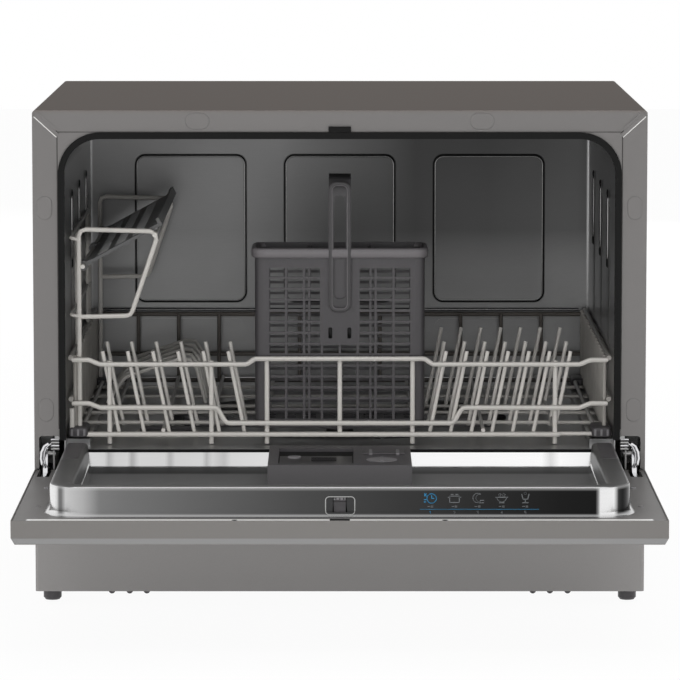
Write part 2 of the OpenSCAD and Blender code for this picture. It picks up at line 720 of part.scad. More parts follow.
// Slim arm with two rows of nozzles, turning in the dish
module spray_arm() color("#8f9092") translate([0, dish_y, 0]) difference() {
    union() {
        translate([0, 0, dish_z + 6]) linear_extrude(8) {
            for (s = [-1, 1]) translate([s * (arm_l - arm_w * 0.7) / 2, 0]) circle(d = arm_w * 0.7);
            polygon([[-(arm_l - arm_w * 0.7) / 2, -arm_w * 0.35], [0, -arm_w / 2 - 3],
                [(arm_l - arm_w * 0.7) / 2, -arm_w * 0.35], [(arm_l - arm_w * 0.7) / 2, arm_w * 0.35],
                [0, arm_w / 2 + 3], [-(arm_l - arm_w * 0.7) / 2, arm_w * 0.35]]);
        }
        translate([0, 0, dish_z + 5]) cylinder(h = 14.5, d = 44);
        for (s = [-1, 1], i = [1:5]) translate([s * (16 + i * 22), (i % 2) * 8 - 4, dish_z + 13])
            cylinder(h = 2, d = 7);
    }
    translate([0, 0, dish_z]) cylinder(h = 17.4, d = hub_dia + 2 * fit);
    for (s = [-1, 1], i = [1:5]) translate([s * (16 + i * 22), (i % 2) * 8 - 4, dish_z + 12])
        cylinder(h = 5, d = 3);
}

// ---- door ---------------------------------------------------------------------------------

// The door's outer form, shrunk by t on every side but the open inner face
module door_form(t) intersection() {
    along_x(-half_w, half_w) polygon([[door_tip_y + t, door_in_z + 1], [door_tip_y + t,
        door_out_z + door_bevel], [door_tip_y + 3 + t, door_out_z + t], [door_end_y - t,
        door_out_z + t], [door_end_y - t, door_in_z + 1]]);
    along_y(door_tip_y, door_end_y) polygon([[-half_w + t, door_in_z + 1], [-half_w + t, door_out_z
        + door_bevel], [-half_w + 3 + t, door_out_z + t], [half_w - 3 - t, door_out_z + t],
        [half_w - t, door_out_z + door_bevel], [half_w - t, door_in_z + 1]]);
}

console_y0 = door_tip_y + 12;
console_y1 = door_tip_y + 66;
console_half = half_w - 13;
grip_half = 60;
grip_y0 = door_tip_y + 44;
grip_depth = 13;

// Painted outer tray of the door, with the skirt that drops in front of the plinth when closed
module door_outer_panel() color(paint) difference() {
    union() {
        difference() {
            door_form(0);
            door_form(1);
            span([-300, door_tip_y - 1, door_in_z], [300, 0, door_in_z + 10]);
        }
        difference() {
            span([-skirt_half, door_end_y - 1, door_out_z], [skirt_half, skirt_end_y, door_out_z + skirt_h]);
            span([-skirt_half + 1, door_end_y - 2, door_out_z + 1],
                [skirt_half - 1, skirt_end_y - 1, door_out_z + skirt_h + 1]);
        }
    }
    span([-console_half, console_y0, door_out_z - 1], [console_half, console_y1, door_out_z + 2]);
    mirror_x() span([arm_x - 5, -6, door_out_z + 2], [arm_x + 5, 1, door_in_z + 1]);
}

// Polished inner panel: a flat flange, the raised pan that enters the tub, and its recess
module door_liner() color(steel) difference() {
    union() {
        span([-half_w + 1, door_tip_y + 1, flange_z], [half_w - 1, door_end_y - 1,
            flange_z + liner_t]);
        pan_block(0, flange_z, rim_z);
    }
    // underside of the rim and of the walls, leaving the recess tub
    difference() {
        pan_block(1, flange_z - 1, rim_z - 1);
        span([-recess_half - 1, recess_front_y - 1, recess_z - 1], [recess_half + 1, wall_y, rim_z]);
        span([-300, wall_y - 1.2, flange_z - 2], [300, 2, rim_z]);
    }
    translate([0, 0, recess_z]) linear_extrude(40)
        rear_open_rect(recess_half, recess_front_y, wall_y - 1.2, 18);
    span([-recess_half, wall_y - 2, recess_z + hinge_wall_h], [recess_half, 2, rim_z + 1]);
    span([-disp_w / 2 + 5, disp_front_y + 8, recess_z - 5], [disp_w / 2 - 5, disp_back_y - 6, recess_z + 5]);
    span([-12.4, pan_front_y - 3, flange_z + 2.5], [12.4, pan_front_y + 3, flange_z + 18.5]);
    mirror_x() span([arm_x - 5, -40, flange_z - 1], [arm_x + 5, 1, flange_z + 2]);
    for (p = liner_screws) translate([p.x, p.y, flange_z - 1]) cylinder(h = 3, d = 3.2);
}

// Prism of the pan's outline from z0 to z1, shrunk by t
module pan_block(t, z0, z1) translate([0, 0, z0]) linear_extrude(z1 - z0)
    rear_open_rect(pan_half - t, pan_front_y + t, wall_y, pan_r - t);

// Rectangle from y0 to y1 with round front corners
module rear_open_rect(half, y0, y1, r) {
    translate([-half, y0 + r]) square([2 * half, y1 - y0 - r]);
    translate([-half + r, y0]) square([2 * (half - r), r + eps]);
    for (s = [-1, 1]) translate([s * (half - r), y0 + r]) circle(r);
}

liner_screws = [for (s = [-1, 1]) each [[s * (half_w - 15), door_tip_y + 4.5],
    [s * half_w * 0.32, door_tip_y + 4.5], [s * (half_w - 18), door_tip_y + 82], [s * (half_w - 18), -110]]];

module door_screws() color(chrome) for (p = liner_screws) translate([p.x, p.y, 0]) {
    translate([0, 0, flange_z + liner_t]) cylinder(h = 0.6, d = 5);
    translate([0, 0, flange_z - 6]) cylinder(h = 7, d = 3);
}

// Black console set into the outer face, with button wells and the grip pocket
module control_console() color(black) difference() {
    union() {
        span([-console_half + seat, console_y0 + seat, door_out_z], [console_half - seat,
            console_y1 - seat, door_out_z + 2.5]);
        span([-console_half - 2, console_y0 - 2, door_out_z + 1], [console_half + 2, console_y1 + 2,
            door_out_z + 2.5]);
        span([-grip_half - 2, grip_y0 - 2, door_out_z], [grip_half + 2, console_y1 - seat,
            door_out_z + grip_depth + 2]);
        span([-console_half + 4, console_y0 + 3, door_out_z + 2], [-console_half + 162, console_y1 - 4,
            door_out_z + 5]);
        span([console_half - 172, console_y0 + 3, door_out_z + 2], [console_half - 4, console_y1 - 4,
            door_out_z + 5]);
    }
    span([-grip_half, grip_y0, door_out_z - 1], [grip_half, console_y1 - 3, door_out_z + grip_depth]);
    for (x = button_xs) translate([x, button_y, door_out_z - 1]) cylinder(h = 20, d = button_dia + 2 * slip);
    span([display_x - 24, button_y - 9, door_out_z - 1], [display_x + 24, button_y + 9, door_out_z + 1.5]);
}

button_dia = 13;
button_xs = [-console_half + 37, console_half - 142, console_half - 112, console_half - 37];
button_y = door_tip_y + 30;
display_x = console_half - 75;

module push_button(x) color(steel) translate([x, button_y, door_out_z]) {
    cylinder(h = 6, d = button_dia);
    translate([0, 0, 5.2]) cylinder(h = 1, d = button_dia + 3);
}

module power_button() push_button(button_xs[0]);
module program_button() push_button(button_xs[1]);
module delay_button() push_button(button_xs[2]);
module start_button() push_button(button_xs[3]);

module display_window() color(black) span([display_x - 24 + seat, button_y - 9 + seat, door_out_z],
    [display_x + 24 - seat, button_y + 9 - seat, door_out_z + 1.5]);

// Circuit board above the buttons, standing on four posts
module control_board() color("#2f5d3a") {
    span([console_half - 164, console_y0 + 6, door_out_z + 8.6], [console_half - 22, console_y1 - 8,
        door_out_z + 10.2]);
    for (x = [console_half - 158, console_half - 28], y = [console_y0 + 9, console_y1 - 11])
        translate([x, y, door_out_z + 5]) cylinder(h = 4, d = 4);
}

// Latch housing behind the opening in the pan's front wall, with the claw's cross pin
module latch_body() color(black) {
    difference() {
        span([-12, pan_front_y + 1, door_out_z + 5], [12, recess_front_y - 2, flange_z + 22]);
        span([-6, pan_front_y, door_out_z + 7], [6, recess_front_y - 5, flange_z + 19]);
    }
    rod([-7, latch_y, latch_z], [7, latch_y, latch_z], 3);
}

// Hook in the latch housing: it swings out through the opening to grip the striker
module latch_claw() color(chrome) along_x(-5, 5) translate([latch_y, latch_z]) difference() {
    union() {
        circle(3.4);
        polygon([[-2.2, 0], [2.2, 0], [2, 14.6], [-5.6, 17.6], [-5.6, 14.6], [-2, 12.6]]);
    }
    circle(d = 3 + 2 * fit);
}

latch_y = pan_front_y + 8.4;
latch_z = flange_z + 0.5;

// Moulded dispenser in the liner's recess, with a sunk lid track and the detergent chamber
module dispenser_body() color(dark_plastic) difference() {
    union() {
        along_x(-disp_w / 2, disp_w / 2) polygon([[disp_back_y, recess_z], [disp_back_y, disp_top],
            [disp_front_y + 12, disp_top], [disp_front_y, recess_z + 2], [disp_front_y, recess_z]]);
        span([-disp_w / 2 + 6, disp_front_y + 9, disp_low], [disp_w / 2 - 6, disp_back_y - 7, recess_z + 1]);
    }
    span([lid_x - lid_w / 2 - 1, lid_back_y - lid_l - 1, disp_top - 3],
        [lid_x + lid_w / 2 + 1, lid_back_y + lid_travel + 1, disp_top + 1]);
    span([lid_x - lid_w / 2 + 4, lid_back_y - lid_l + 3, disp_low + 4],
        [lid_x + lid_w / 2 - 4, lid_back_y - 4, disp_top]);
    translate([rinse_x, rinse_y, disp_top - 2]) cylinder(h = 4, d = rinse_dia + 2 * slip);
    translate([rinse_x, rinse_y, disp_low + 4]) cylinder(h = 40, d = 20 + 2 * fit);
}

// Lid that slides back over its chamber, with a ribbed thumb grip
module detergent_lid() color("#525052") difference() {
    union() {
        span([lid_x - lid_w / 2, lid_back_y - lid_l, disp_top - 2.7],
            [lid_x + lid_w / 2, lid_back_y, disp_top - 0.4]);
        for (i = [0:3]) span([lid_x - 4, lid_back_y - 14 - i * 5, disp_top - 1],
            [lid_x + 18, lid_back_y - 12 - i * 5, disp_top + 0.4]);
    }
    translate([lid_x - 19, lid_back_y - 10, disp_top - 5]) cylinder(h = 10, d = 12 + 2 * slip);
}

// Round release on the lid
module dispenser_release() color("#6a686a") translate([lid_x - 19, lid_back_y - 10, 0]) {
    translate([0, 0, disp_top - 1.1]) cylinder(h = 1.9, d = 12);
}

module rinse_aid_cap() color("#6a686a") translate([rinse_x, rinse_y, 0]) {
    translate([0, 0, disp_top - 12]) cylinder(h = 12, d = 20);
    translate([0, 0, disp_top - 1.7]) cylinder(h = 2.2, d = rinse_dia);
    translate([-1.5, -rinse_dia / 2 + 3, disp_top]) cube([3, rinse_dia - 6, 1.5]);
}

// ---- rack ---------------------------------------------------------------------------------

// Front grille: three shaped rails and the uprights that end in feet
module rack_front() color(wire_grey) {
    y = rack_front_y;
    e = rack_half - 1;
    step_x = [0.932, 0.891, 0.456, 0.423, 0.345, 0.316] * rack_half;
    behind = y + rail_dia + weld;
    tube(round_path([[-e, y, top_z + 2], [-step_x[0], y, top_z + 2], [-step_x[1], y, top_z - 2],
        [-step_x[4], y, top_z - 2], [-step_x[5], y, top_z + 3], [step_x[5], y, top_z + 3],
        [step_x[4], y, top_z - 2], [step_x[1], y, top_z - 2], [step_x[0], y, top_z + 2],
        [e, y, top_z + 2]], 5), [0, 1, 0], rail_dia);
    tube(round_path([[-e, y, mid_z + 2], [-step_x[0], y, mid_z + 2], [-step_x[1], y, mid_z - 2],
        [-step_x[2], y, mid_z - 2], [-step_x[3], y, mid_z - 16], [step_x[3], y, mid_z - 16],
        [step_x[2], y, mid_z - 2], [step_x[1], y, mid_z - 2], [step_x[0], y, mid_z + 2],
        [e, y, mid_z + 2]], 5), [0, 1, 0], rail_dia);
    tube(round_path([[-e, y, mid_z + 2 - rail_dia - weld], [-e, y, low_z], [foot_xs[4] + 4, y, low_z]], 6),
        [0, 1, 0], rail_dia);
    for (x = foot_xs) rod([x, behind, floor_z + 1], [x, behind, top_z + 1], rail_dia);
    rod([0, behind, low_z], [0, behind, top_z + 4], rail_dia);
}

module rack_back() color(wire_grey) {
    y = rack_back_y;
    e = rack_half - 1;
    for (z = [low_z, mid_z, top_z]) rod([-e, y, z], [e, y, z], rail_dia);
    for (i = [-5:5]) rod([i * 40, y - rail_dia + 0.9, low_z - 1], [i * 40, y - rail_dia + 0.9, top_z + 1],
        pin_wire);
}

// Side grille: three rails and close uprights
module rack_side(s) color(wire_grey) {
    x = s * rack_half;
    pin_x = s * side_pin_x;
    for (z = [low_z + 3, mid_z + 6, top_z + 4])
        rod([x, rack_front_y - 1, z], [x, rack_back_y + 1, z], rail_dia);
    n = 14;
    for (i = [0:n]) {
        y = rack_front_y + 12 + i * (rack_back_y - rack_front_y - 24) / n;
        rod([pin_x, y, low_z + 1], [pin_x, y, top_z + 5], pin_wire);
    }
}

module rack_side_left() rack_side(-1);
module rack_side_right() rack_side(1);

// Grid under everything in the rack: long wires welded on top of the cross wires
module rack_floor() color(wire_grey) {
    e = rack_half - 3;
    for (y = cross_ys) rod([-e, y, low_z], [e, y, low_z], pin_wire);
    for (x = concat(foot_xs, [-0.96, -0.657, 0, 0.534, 0.952] * rack_half))
        rod([x, rack_front_y + 1, floor_wire_z], [x, rack_back_y - 1, floor_wire_z], pin_wire);
}

cross_ys = concat([pin_rows[0] - 2, pin_rows[1], pin_rows[2]],
    [for (f = [0.38, 0.68, 0.855]) rack_front_y + f * rack_len]);

// A leaning plate pin: s gives the side it leans to
module plate_pin(x, y, s, h)
    rod([x, y, low_z - 3], [x + s * pin_lean * h / plate_pin_h, y, low_z - 1 + h], pin_wire);

module plate_pins_left() color(wire_grey)
    for (y = [pin_rows[0] + 1, pin_rows[1] + 3], i = [0:left_pins - 1])
        plate_pin(left_pin_x0 + pin_lean + i * left_pitch, y, -1, plate_pin_h);

module plate_pins_right() color(wire_grey)
    for (y = [pin_rows[0] + 1, pin_rows[1] + 3, pin_rows[2] + 3], i = [0:right_pins - 1])
        plate_pin(right_pin_x0 - pin_lean - i * right_pitch, y, 1, plate_pin_h);

// Arched wires at the left rear that carry bowls
module bowl_supports() color(wire_grey) for (i = [0:4]) {
    y = rack_back_y - 35 - i * 38;
    tube(round_path([[-222, y, low_z + 1], [-205, y, low_z + 26], [-140, y, low_z + 48],
        [-128, y, low_z + 1]], 12), [0, 1, 0], pin_wire);
}

// Wire loop at each end of the cup shelf
module cup_shelf_frame() color(wire_grey) {
    x0 = loop_out_x;
    for (y = [loop_front_y, loop_back_y])
        tube(round_path([[x0, y, low_z + 4.2], [x0, y, rest_z + 5], [rest_x + 4, y, rest_z + 3],
            [rest_x - 22, y, rod_z - 45], [x0 + 1, y, rod_z - 46]], 6), [0, 1, 0], rail_dia);
}

// Rods welded across the two loops: the shelf's hinge rod and the bar that it rests on
module shelf_rods() color(wire_grey) {
    rod([rod_x, loop_front_y - 4, rod_z], [rod_x, loop_back_y + 4, rod_z], 4);
    rod([rest_x, loop_front_y - 4, rest_z], [rest_x, loop_back_y + 4, rest_z], 4);
    for (y = [loop_front_y, loop_back_y]) rod([loop_out_x - 1, y, rod_z], [rod_x, y, rod_z], 3.4);
}

// Plastic glides at the rack's lower corners
module rack_glides() color(dark_plastic) mirror_x()
    for (y = [rack_front_y - 5, rack_back_y - 46]) difference() {
        span([rack_half - 16, y, ledge_z + glide_gap], [rack_half - 0.5, y + 40, low_z + 3.8]);
        for (d = [6, 28]) span([rack_half - 12, y + d, low_z + 1.5], [rack_half - 4, y + d + 6, low_z + 5]);
    }

// Perforated shelf for cups, hinged on its rod along its low edge
module cup_shelf() color(dark_plastic) translate([rod_x, loop_front_y + 5, rod_z])
    rotate([0, -shelf_tilt, 0]) difference() {
        union() {
            span([4, 0, -shelf_t / 2], [shelf_w, shelf_l, shelf_t / 2]);
            span([shelf_w - 3, 0, -shelf_t / 2], [shelf_w, shelf_l, 6]);
            for (y = [0, shelf_l / 2 - 6, shelf_l - 12]) translate([0, y, 0]) rotate([-90, 0, 0])
                cylinder(h = 12, d = 9);
            for (y = [0, shelf_l / 2 - 6, shelf_l - 12]) span([0, y, -2], [8, y + 12, 2]);
            span([shelf_w - 14, 10, -3.6], [shelf_w - 6, shelf_l - 10, 0]);
        }
        for (y = [0, shelf_l / 2 - 6, shelf_l - 12]) translate([0, y - 1, 0]) rotate([-90, 0, 0])
            cylinder(h = 14, d = 4 + 2 * fit);
        for (i = [0:14], j = [0:2]) span([14 + j * 18, 12 + i * 22, -9], [26 + j * 18, 28 + i * 22, 9]);
    }

// Flat grid of square openings between (x0, z0) and (x1, z1)
module grid(x0, z0, x1, z1, cols, rows, bar) difference() {
    pitch_x = (x1 - x0 - bar) / cols;
    pitch_z = (z1 - z0 - bar) / rows;
    translate([x0, z0]) square([x1 - x0, z1 - z0]);
    for (i = [0:cols - 1], j = [0:rows - 1]) translate([x0 + bar + i * pitch_x, z0 + bar + j * pitch_z])
        square([pitch_x - bar, pitch_z - bar]);
}

// Frame of the cutlery basket: rim, base and corner posts in one moulding
module cutlery_basket() color(dark_plastic) {
    w = cut_w / 2;
    back = cut_y + cut_d;
    translate([0, 0, cut_top - 7]) linear_extrude(7) basket_ring();
    translate([0, 0, cut_z]) linear_extrude(cut_top - cut_z - 1) intersection() {
        basket_ring();
        for (x = [-w, w - cut_post], y = [cut_y, back - cut_post]) translate([x, y]) square(cut_post);
    }
    translate([0, 0, cut_z]) linear_extrude(5) difference() {
        round_rect(-w, cut_y, w, back, 9);
        for (i = [0:cut_cols - 1], j = [0:2]) translate([-w + 13 + i * (cut_w - 26) / (cut_cols - 1),
            cut_y + 13 + j * (cut_d - 26) / 2]) square(11, center = true);
    }
}

module basket_ring() difference() {
    round_rect(-cut_w / 2, cut_y, cut_w / 2, cut_y + cut_d, 9);
    round_rect(-cut_w / 2 + cut_t, cut_y + cut_t, cut_w / 2 - cut_t, cut_y + cut_d - cut_t, 7);
}

// Grids that fill the frame: front and back with solid middles, both ends, and two dividers
module cutlery_grids() color(dark_plastic) {
    w = cut_w / 2 - cut_post;
    low = cut_z + 5;
    high = cut_top - 7;
    bar = 2.2;
    for (y = [cut_y, cut_y + cut_d - cut_t]) along_y(y + 0.2, y + cut_t - 0.2) {
        grid(-w, low, w, high - 9, cut_cols, cut_rows, bar);
        translate([-w, high - 9 - eps]) square([2 * w, 9 + eps]);
        translate([-18, cut_z + cut_h * 0.46]) square([36, cut_h * 0.46]);
    }
    for (x = [-cut_w / 2, cut_w / 2 - cut_t]) along_x(x + 0.2, x + cut_t - 0.2)
        grid(cut_y + cut_post, low, cut_y + cut_d - cut_post, high, 2, round(cut_rows / 2), bar);
    for (s = [-1, 1]) along_x(s * cut_w * 0.18 - cut_t / 2, s * cut_w * 0.18 + cut_t / 2)
        grid(cut_y + cut_t, low, cut_y + cut_d - cut_t, cut_top - 3, 3, round(cut_rows / 2), bar);
}

// Strap handle that rises from the front wall, over the top and down to the back wall
module cutlery_handle() color(dark_plastic) difference() {
    along_x(-10, 10) difference() {
        arch_rect(cut_y - 3.5, cut_top - 52, cut_y + cut_d + 3.5, cut_top + cut_handle_h, 16);
        arch_rect(cut_y, cut_top - 60, cut_y + cut_d, cut_top + cut_handle_h - 5, 12.5);
    }
    along_y(cut_y - 5, cut_y + cut_d + 5)
        round_rect(-5.5, cut_top - 46, 5.5, cut_top + cut_handle_h - 16, 5);
}

translate([0, y_shift, 0]) {
    cabinet_wrap();
    kick_panel();
    base_tray();
    rubber_feet();
    rear_panel();
    rear_screws();
    tub_shell();
    tub_back();
    tub_floor();
    door_gasket();
    latch_striker();
    bumper_caps();
    hinge_brackets();
    hinge_pins();
    hinge_springs();
    sump_housing();
    filter_plate();
    softener_tank();
    wash_pump();
    drain_pump();
    internal_hoses();
    inlet_valve();
    drain_outlet();
    cord_gland();
    air_breather();
    coarse_filter();
    salt_cap();
    spray_arm();
    door_outer_panel();
    door_liner();
    control_console();
    display_window();
    control_board();
    power_button();
    program_button();
    delay_button();
    start_button();
    latch_body();
    latch_claw();
    hinge_arms();
    door_screws();
    dispenser_body();
    detergent_lid();
    dispenser_release();
    rinse_aid_cap();
    rack_front();
    rack_back();
    rack_side_left();
    rack_side_right();
    rack_floor();
    plate_pins_left();
    plate_pins_right();
    bowl_supports();
    cup_shelf_frame();
    shelf_rods();
    rack_glides();
    cup_shelf();
    cutlery_basket();
    cutlery_grids();
    cutlery_handle();
}
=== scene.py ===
import math

import bpy
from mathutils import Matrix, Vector


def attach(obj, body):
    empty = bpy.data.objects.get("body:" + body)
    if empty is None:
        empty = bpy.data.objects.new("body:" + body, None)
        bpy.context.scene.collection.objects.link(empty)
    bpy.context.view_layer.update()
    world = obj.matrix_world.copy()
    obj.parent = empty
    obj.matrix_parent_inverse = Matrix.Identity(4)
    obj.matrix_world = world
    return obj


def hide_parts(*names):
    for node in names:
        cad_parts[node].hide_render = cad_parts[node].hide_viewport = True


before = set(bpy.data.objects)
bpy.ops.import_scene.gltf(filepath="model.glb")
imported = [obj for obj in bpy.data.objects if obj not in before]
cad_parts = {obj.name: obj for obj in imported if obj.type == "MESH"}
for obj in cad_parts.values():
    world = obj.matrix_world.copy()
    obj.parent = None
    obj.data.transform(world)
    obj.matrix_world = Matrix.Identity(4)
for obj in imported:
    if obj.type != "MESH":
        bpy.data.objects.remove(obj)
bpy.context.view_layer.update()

# Source millimetres (y = 0 at the cabinet's front plane) to the row's metres
ROW_Y = -91.0


def P(x, y, z):
    return Vector((x / 1000, (y + ROW_Y) / 1000, z / 1000))


# ---- materials ----------------------------------------------------------------------------

def srgb(*c):
    return tuple((v / 255 / 12.92) if v / 255 <= 0.04045 else ((v / 255 + 0.055) / 1.055) ** 2.4
                 for v in c) + (1.0,)


def grey(v):
    return srgb(v, v, v)


COAT_ROUGHNESS = 0.1
WIDE_SCALE = 9              # broad clouds that vary the roughness
BUMP_DEPTH = 0.0004         # metres


def material(name, color, metallic=0.0, rough=0.5, vary=0.06, scale=400.0, stretch=(1, 1, 1),
             bump=0.02, bump_scale=None, rough_vary=0.06, coat=0.0, spec=0.5, ramp=None, lift=None):
    """Principled surface with noise in its colour, roughness and height.

    ramp=(axis, [(mm, colour), ...]) grades the colour along an axis; lift=(axis, [(mm, share), ...],
    colour or second list of stops) mixes a second colour in along another."""
    m = bpy.data.materials.new(name)
    m.use_nodes = True
    nt = m.node_tree
    b = nt.nodes["Principled BSDF"]
    b.inputs["Metallic"].default_value = metallic
    b.inputs["Specular IOR Level"].default_value = spec
    b.inputs["Coat Weight"].default_value = coat
    b.inputs["Coat Roughness"].default_value = COAT_ROUGHNESS
    co = nt.nodes.new("ShaderNodeTexCoord")
    mp = nt.nodes.new("ShaderNodeMapping")
    mp.inputs["Scale"].default_value = stretch
    nt.links.new(co.outputs["Object"], mp.inputs["Vector"])
    no = nt.nodes.new("ShaderNodeTexNoise")
    no.inputs["Scale"].default_value = scale
    no.inputs["Detail"].default_value = 4
    nt.links.new(mp.outputs["Vector"], no.inputs["Vector"])

    def graded(axis, stops):
        sep = nt.nodes.new("ShaderNodeSeparateXYZ")
        nt.links.new(co.outputs["Object"], sep.inputs[0])
        lo, hi = stops[0][0], stops[-1][0]
        off = ROW_Y if axis == "Y" else 0
        mr = nt.nodes.new("ShaderNodeMapRange")
        mr.inputs["From Min"].default_value = (lo + off) / 1000
        mr.inputs["From Max"].default_value = (hi + off) / 1000
        nt.links.new(sep.outputs[axis], mr.inputs["Value"])
        cr = nt.nodes.new("ShaderNodeValToRGB")
        el = cr.color_ramp.elements
        for i, (at, c) in enumerate(stops):
            e = el[i] if i < 2 else el.new(1.0)
            e.position = (at - lo) / (hi - lo)
            e.color = c if isinstance(c, tuple) else (c, c, c, 1)
        nt.links.new(mr.outputs["Result"], cr.inputs["Fac"])
        return cr.outputs["Color"]

    tone = nt.nodes.new("ShaderNodeMix")
    tone.data_type = "RGBA"
    if ramp:
        flat = graded(*ramp)
        if lift:
            up = nt.nodes.new("ShaderNodeMix")
            up.data_type = "RGBA"
            nt.links.new(graded(lift[0], lift[1]), up.inputs["Factor"])
            nt.links.new(flat, up.inputs["A"])
            if isinstance(lift[2], list):
                nt.links.new(graded(ramp[0], lift[2]), up.inputs["B"])
            else:
                up.inputs["B"].default_value = lift[2]
            flat = up.outputs["Result"]
        tone.inputs["A"].default_value = (1 - vary, 1 - vary, 1 - vary, 1)
        tone.inputs["B"].default_value = (1, 1, 1, 1)
        both = nt.nodes.new("ShaderNodeMix")
        both.data_type = "RGBA"
        both.blend_type = "MULTIPLY"
        both.inputs["Factor"].default_value = 1
        nt.links.new(flat, both.inputs["A"])
        nt.links.new(tone.outputs["Result"], both.inputs["B"])
        nt.links.new(both.outputs["Result"], b.inputs["Base Color"])
    else:
        tone.inputs["A"].default_value = tuple(v * (1 - vary) for v in color[:3]) + (1,)
        tone.inputs["B"].default_value = tuple(min(1, v * (1 + vary)) for v in color[:3]) + (1,)
        nt.links.new(tone.outputs["Result"], b.inputs["Base Color"])
    nt.links.new(no.outputs["Fac"], tone.inputs["Factor"])
    rr = nt.nodes.new("ShaderNodeMapRange")
    rr.inputs["To Min"].default_value = max(0.02, rough - rough_vary)
    rr.inputs["To Max"].default_value = min(1, rough + rough_vary)
    wide = nt.nodes.new("ShaderNodeTexNoise")
    wide.inputs["Scale"].default_value = WIDE_SCALE
    wide.inputs["Detail"].default_value = 3
    nt.links.new(co.outputs["Object"], wide.inputs["Vector"])
    nt.links.new(wide.outputs["Fac"], rr.inputs["Value"])
    nt.links.new(rr.outputs["Result"], b.inputs["Roughness"])
    if bump:
        bp = nt.nodes.new("ShaderNodeBump")
        bp.inputs["Strength"].default_value = bump
        bp.inputs["Distance"].default_value = BUMP_DEPTH
        fine = nt.nodes.new("ShaderNodeTexNoise")
        fine.inputs["Scale"].default_value = bump_scale or scale
        fine.inputs["Detail"].default_value = 2
        nt.links.new(mp.outputs["Vector"], fine.inputs["Vector"])
        nt.links.new(fine.outputs["Fac"], bp.inputs["Height"])
        nt.links.new(bp.outputs["Normal"], b.inputs["Normal"])
    return m


# silver_paint: above 446 mm, on the cabinet's top, the colour is painted darker and warmer as painted shade.
PAINT = material("silver_paint", None, 0.0, 0.5, 0.05, 1400, bump=0.03, rough_vary=0.03, spec=0.0,
                 ramp=("Z", [(0, srgb(122, 120, 119)), (445.0, srgb(122, 120, 119)),
                             (446.6, srgb(119, 113, 109)), (460, srgb(119, 113, 109))]))
# door_paint: the band from 103.4 to 107.4 mm on the door's chamfer is painted lighter as a painted highlight;
# the face below and the free edge above are slightly different greys.
DOOR_PAINT = material("door_paint", None, 0.0, 0.5, 0.05, 1400, bump=0.03, rough_vary=0.03, spec=0.0,
                      ramp=("Z", [(90, srgb(116, 114, 112)), (102.6, srgb(116, 114, 112)), (103.4, grey(132)),
                                  (107.4, grey(132)), (108.6, srgb(110, 108, 106)),
                                  (150, srgb(110, 108, 106))]))
# Painted light: the kick panel's silver paint is made lighter to make up for the shade under the open door.
KICK_PAINT_LIT = material("kick_paint_lit", srgb(146, 144, 143), 0.0, 0.5, 0.05, 1400, bump=0.03,
                      rough_vary=0.03, spec=0.0)
# Painted reflection and shade in the tub's colour: lighter on the left, darker to the right, lighter side
# walls, and a darker, steeper left-to-right grade above about 250 mm.
TUB = material("tub_steel", None, 1.0, 0.30, 0.07, 60, (1, 1, 14), 0.05, 90, 0.04,
               ramp=("X", [(-275, grey(190)), (-130, grey(178)), (-40, grey(174)), (30, grey(170)),
                           (110, grey(166)), (190, grey(168)), (245, grey(200)), (275, grey(190))]),
               lift=("Z", [(190, 0.0), (250, 0.55), (300, 0.95), (380, 1.0)],
                     [(-275, grey(200)), (-246.6, grey(200)), (-245.2, grey(130)), (-148, grey(124)),
                      (-60, grey(128)), (0, grey(110)), (40, grey(94)), (75, grey(70)), (148, grey(68)),
                      (200, grey(78)), (236, grey(90)), (245.2, grey(84)), (246.6, grey(222)),
                      (275, grey(206))]))
LINER = material("liner_steel", srgb(205, 205, 204), 1.0, 0.16, 0.03, 40, (12, 1, 1), 0.03, 80, 0.04)
STEEL = material("plain_steel", srgb(176, 176, 175), 1.0, 0.28, 0.05, 90, (8, 1, 1), 0.03)
CHROME = material("chrome_plate", srgb(224, 224, 226), 1.0, 0.08, 0.02, 60, rough_vary=0.02)
DARK = material("dark_plastic", srgb(64, 62, 64), 0.0, 0.42, 0.08, 500, bump=0.12, bump_scale=1800)
BASKET = material("basket_plastic", srgb(64, 62, 64), 0.0, 0.40, 0.08, 500, bump=0.10, bump_scale=1600)
BLACK = material("gloss_black", srgb(24, 24, 25), 0.0, 0.18, 0.05, 300, bump=0.01)
RUBBER = material("black_rubber", srgb(20, 20, 20), 0.0, 0.62, 0.10, 700, bump=0.12, bump_scale=1500,
                  spec=0.15)
# Painted light and shade on the shelf: dark up to 48 mm deep, then painted lighter to stand in for light it
# does not catch, growing darker towards the back.
SHELF = material("shelf_plastic", None, 0.0, 0.45, 0.16, 300, bump=0.15, bump_scale=900,
                 ramp=("Y", [(0, grey(84)), (48, grey(84)), (54, grey(142)), (250, grey(126)),
                             (420, grey(120))]))
# Painted shade: a darker copy of the coated wire, for the rack's side panels.
SHADED_SIDE_WIRE = material("shaded_side_wire", srgb(150, 147, 142), 0.0, 0.4, 0.05, 200, bump=0.06, bump_scale=500)
LID = material("lid_plastic", srgb(34, 33, 34), 0.0, 0.3, 0.06, 400, bump=0.06, bump_scale=1500, spec=0.2)
FLANGE_STEEL = material("flange_steel", srgb(112, 110, 109), 0.3, 0.45, 0.05, 200, bump=0.02, spec=0.1)
# Painted highlight and shade on the pan's rim: a bright strip along its front edge, then dark grey that
# darkens towards the hinge end.
RIM_TOP = material("rim_top_steel", None, 0.4, 0.35, 0.05, 120, bump=0.02, spec=0.1,
                   ramp=("Y", [(-274.6, grey(216)), (-271.4, grey(206)), (-270.2, grey(96)),
                               (-120, grey(84)), (0, grey(70))]))
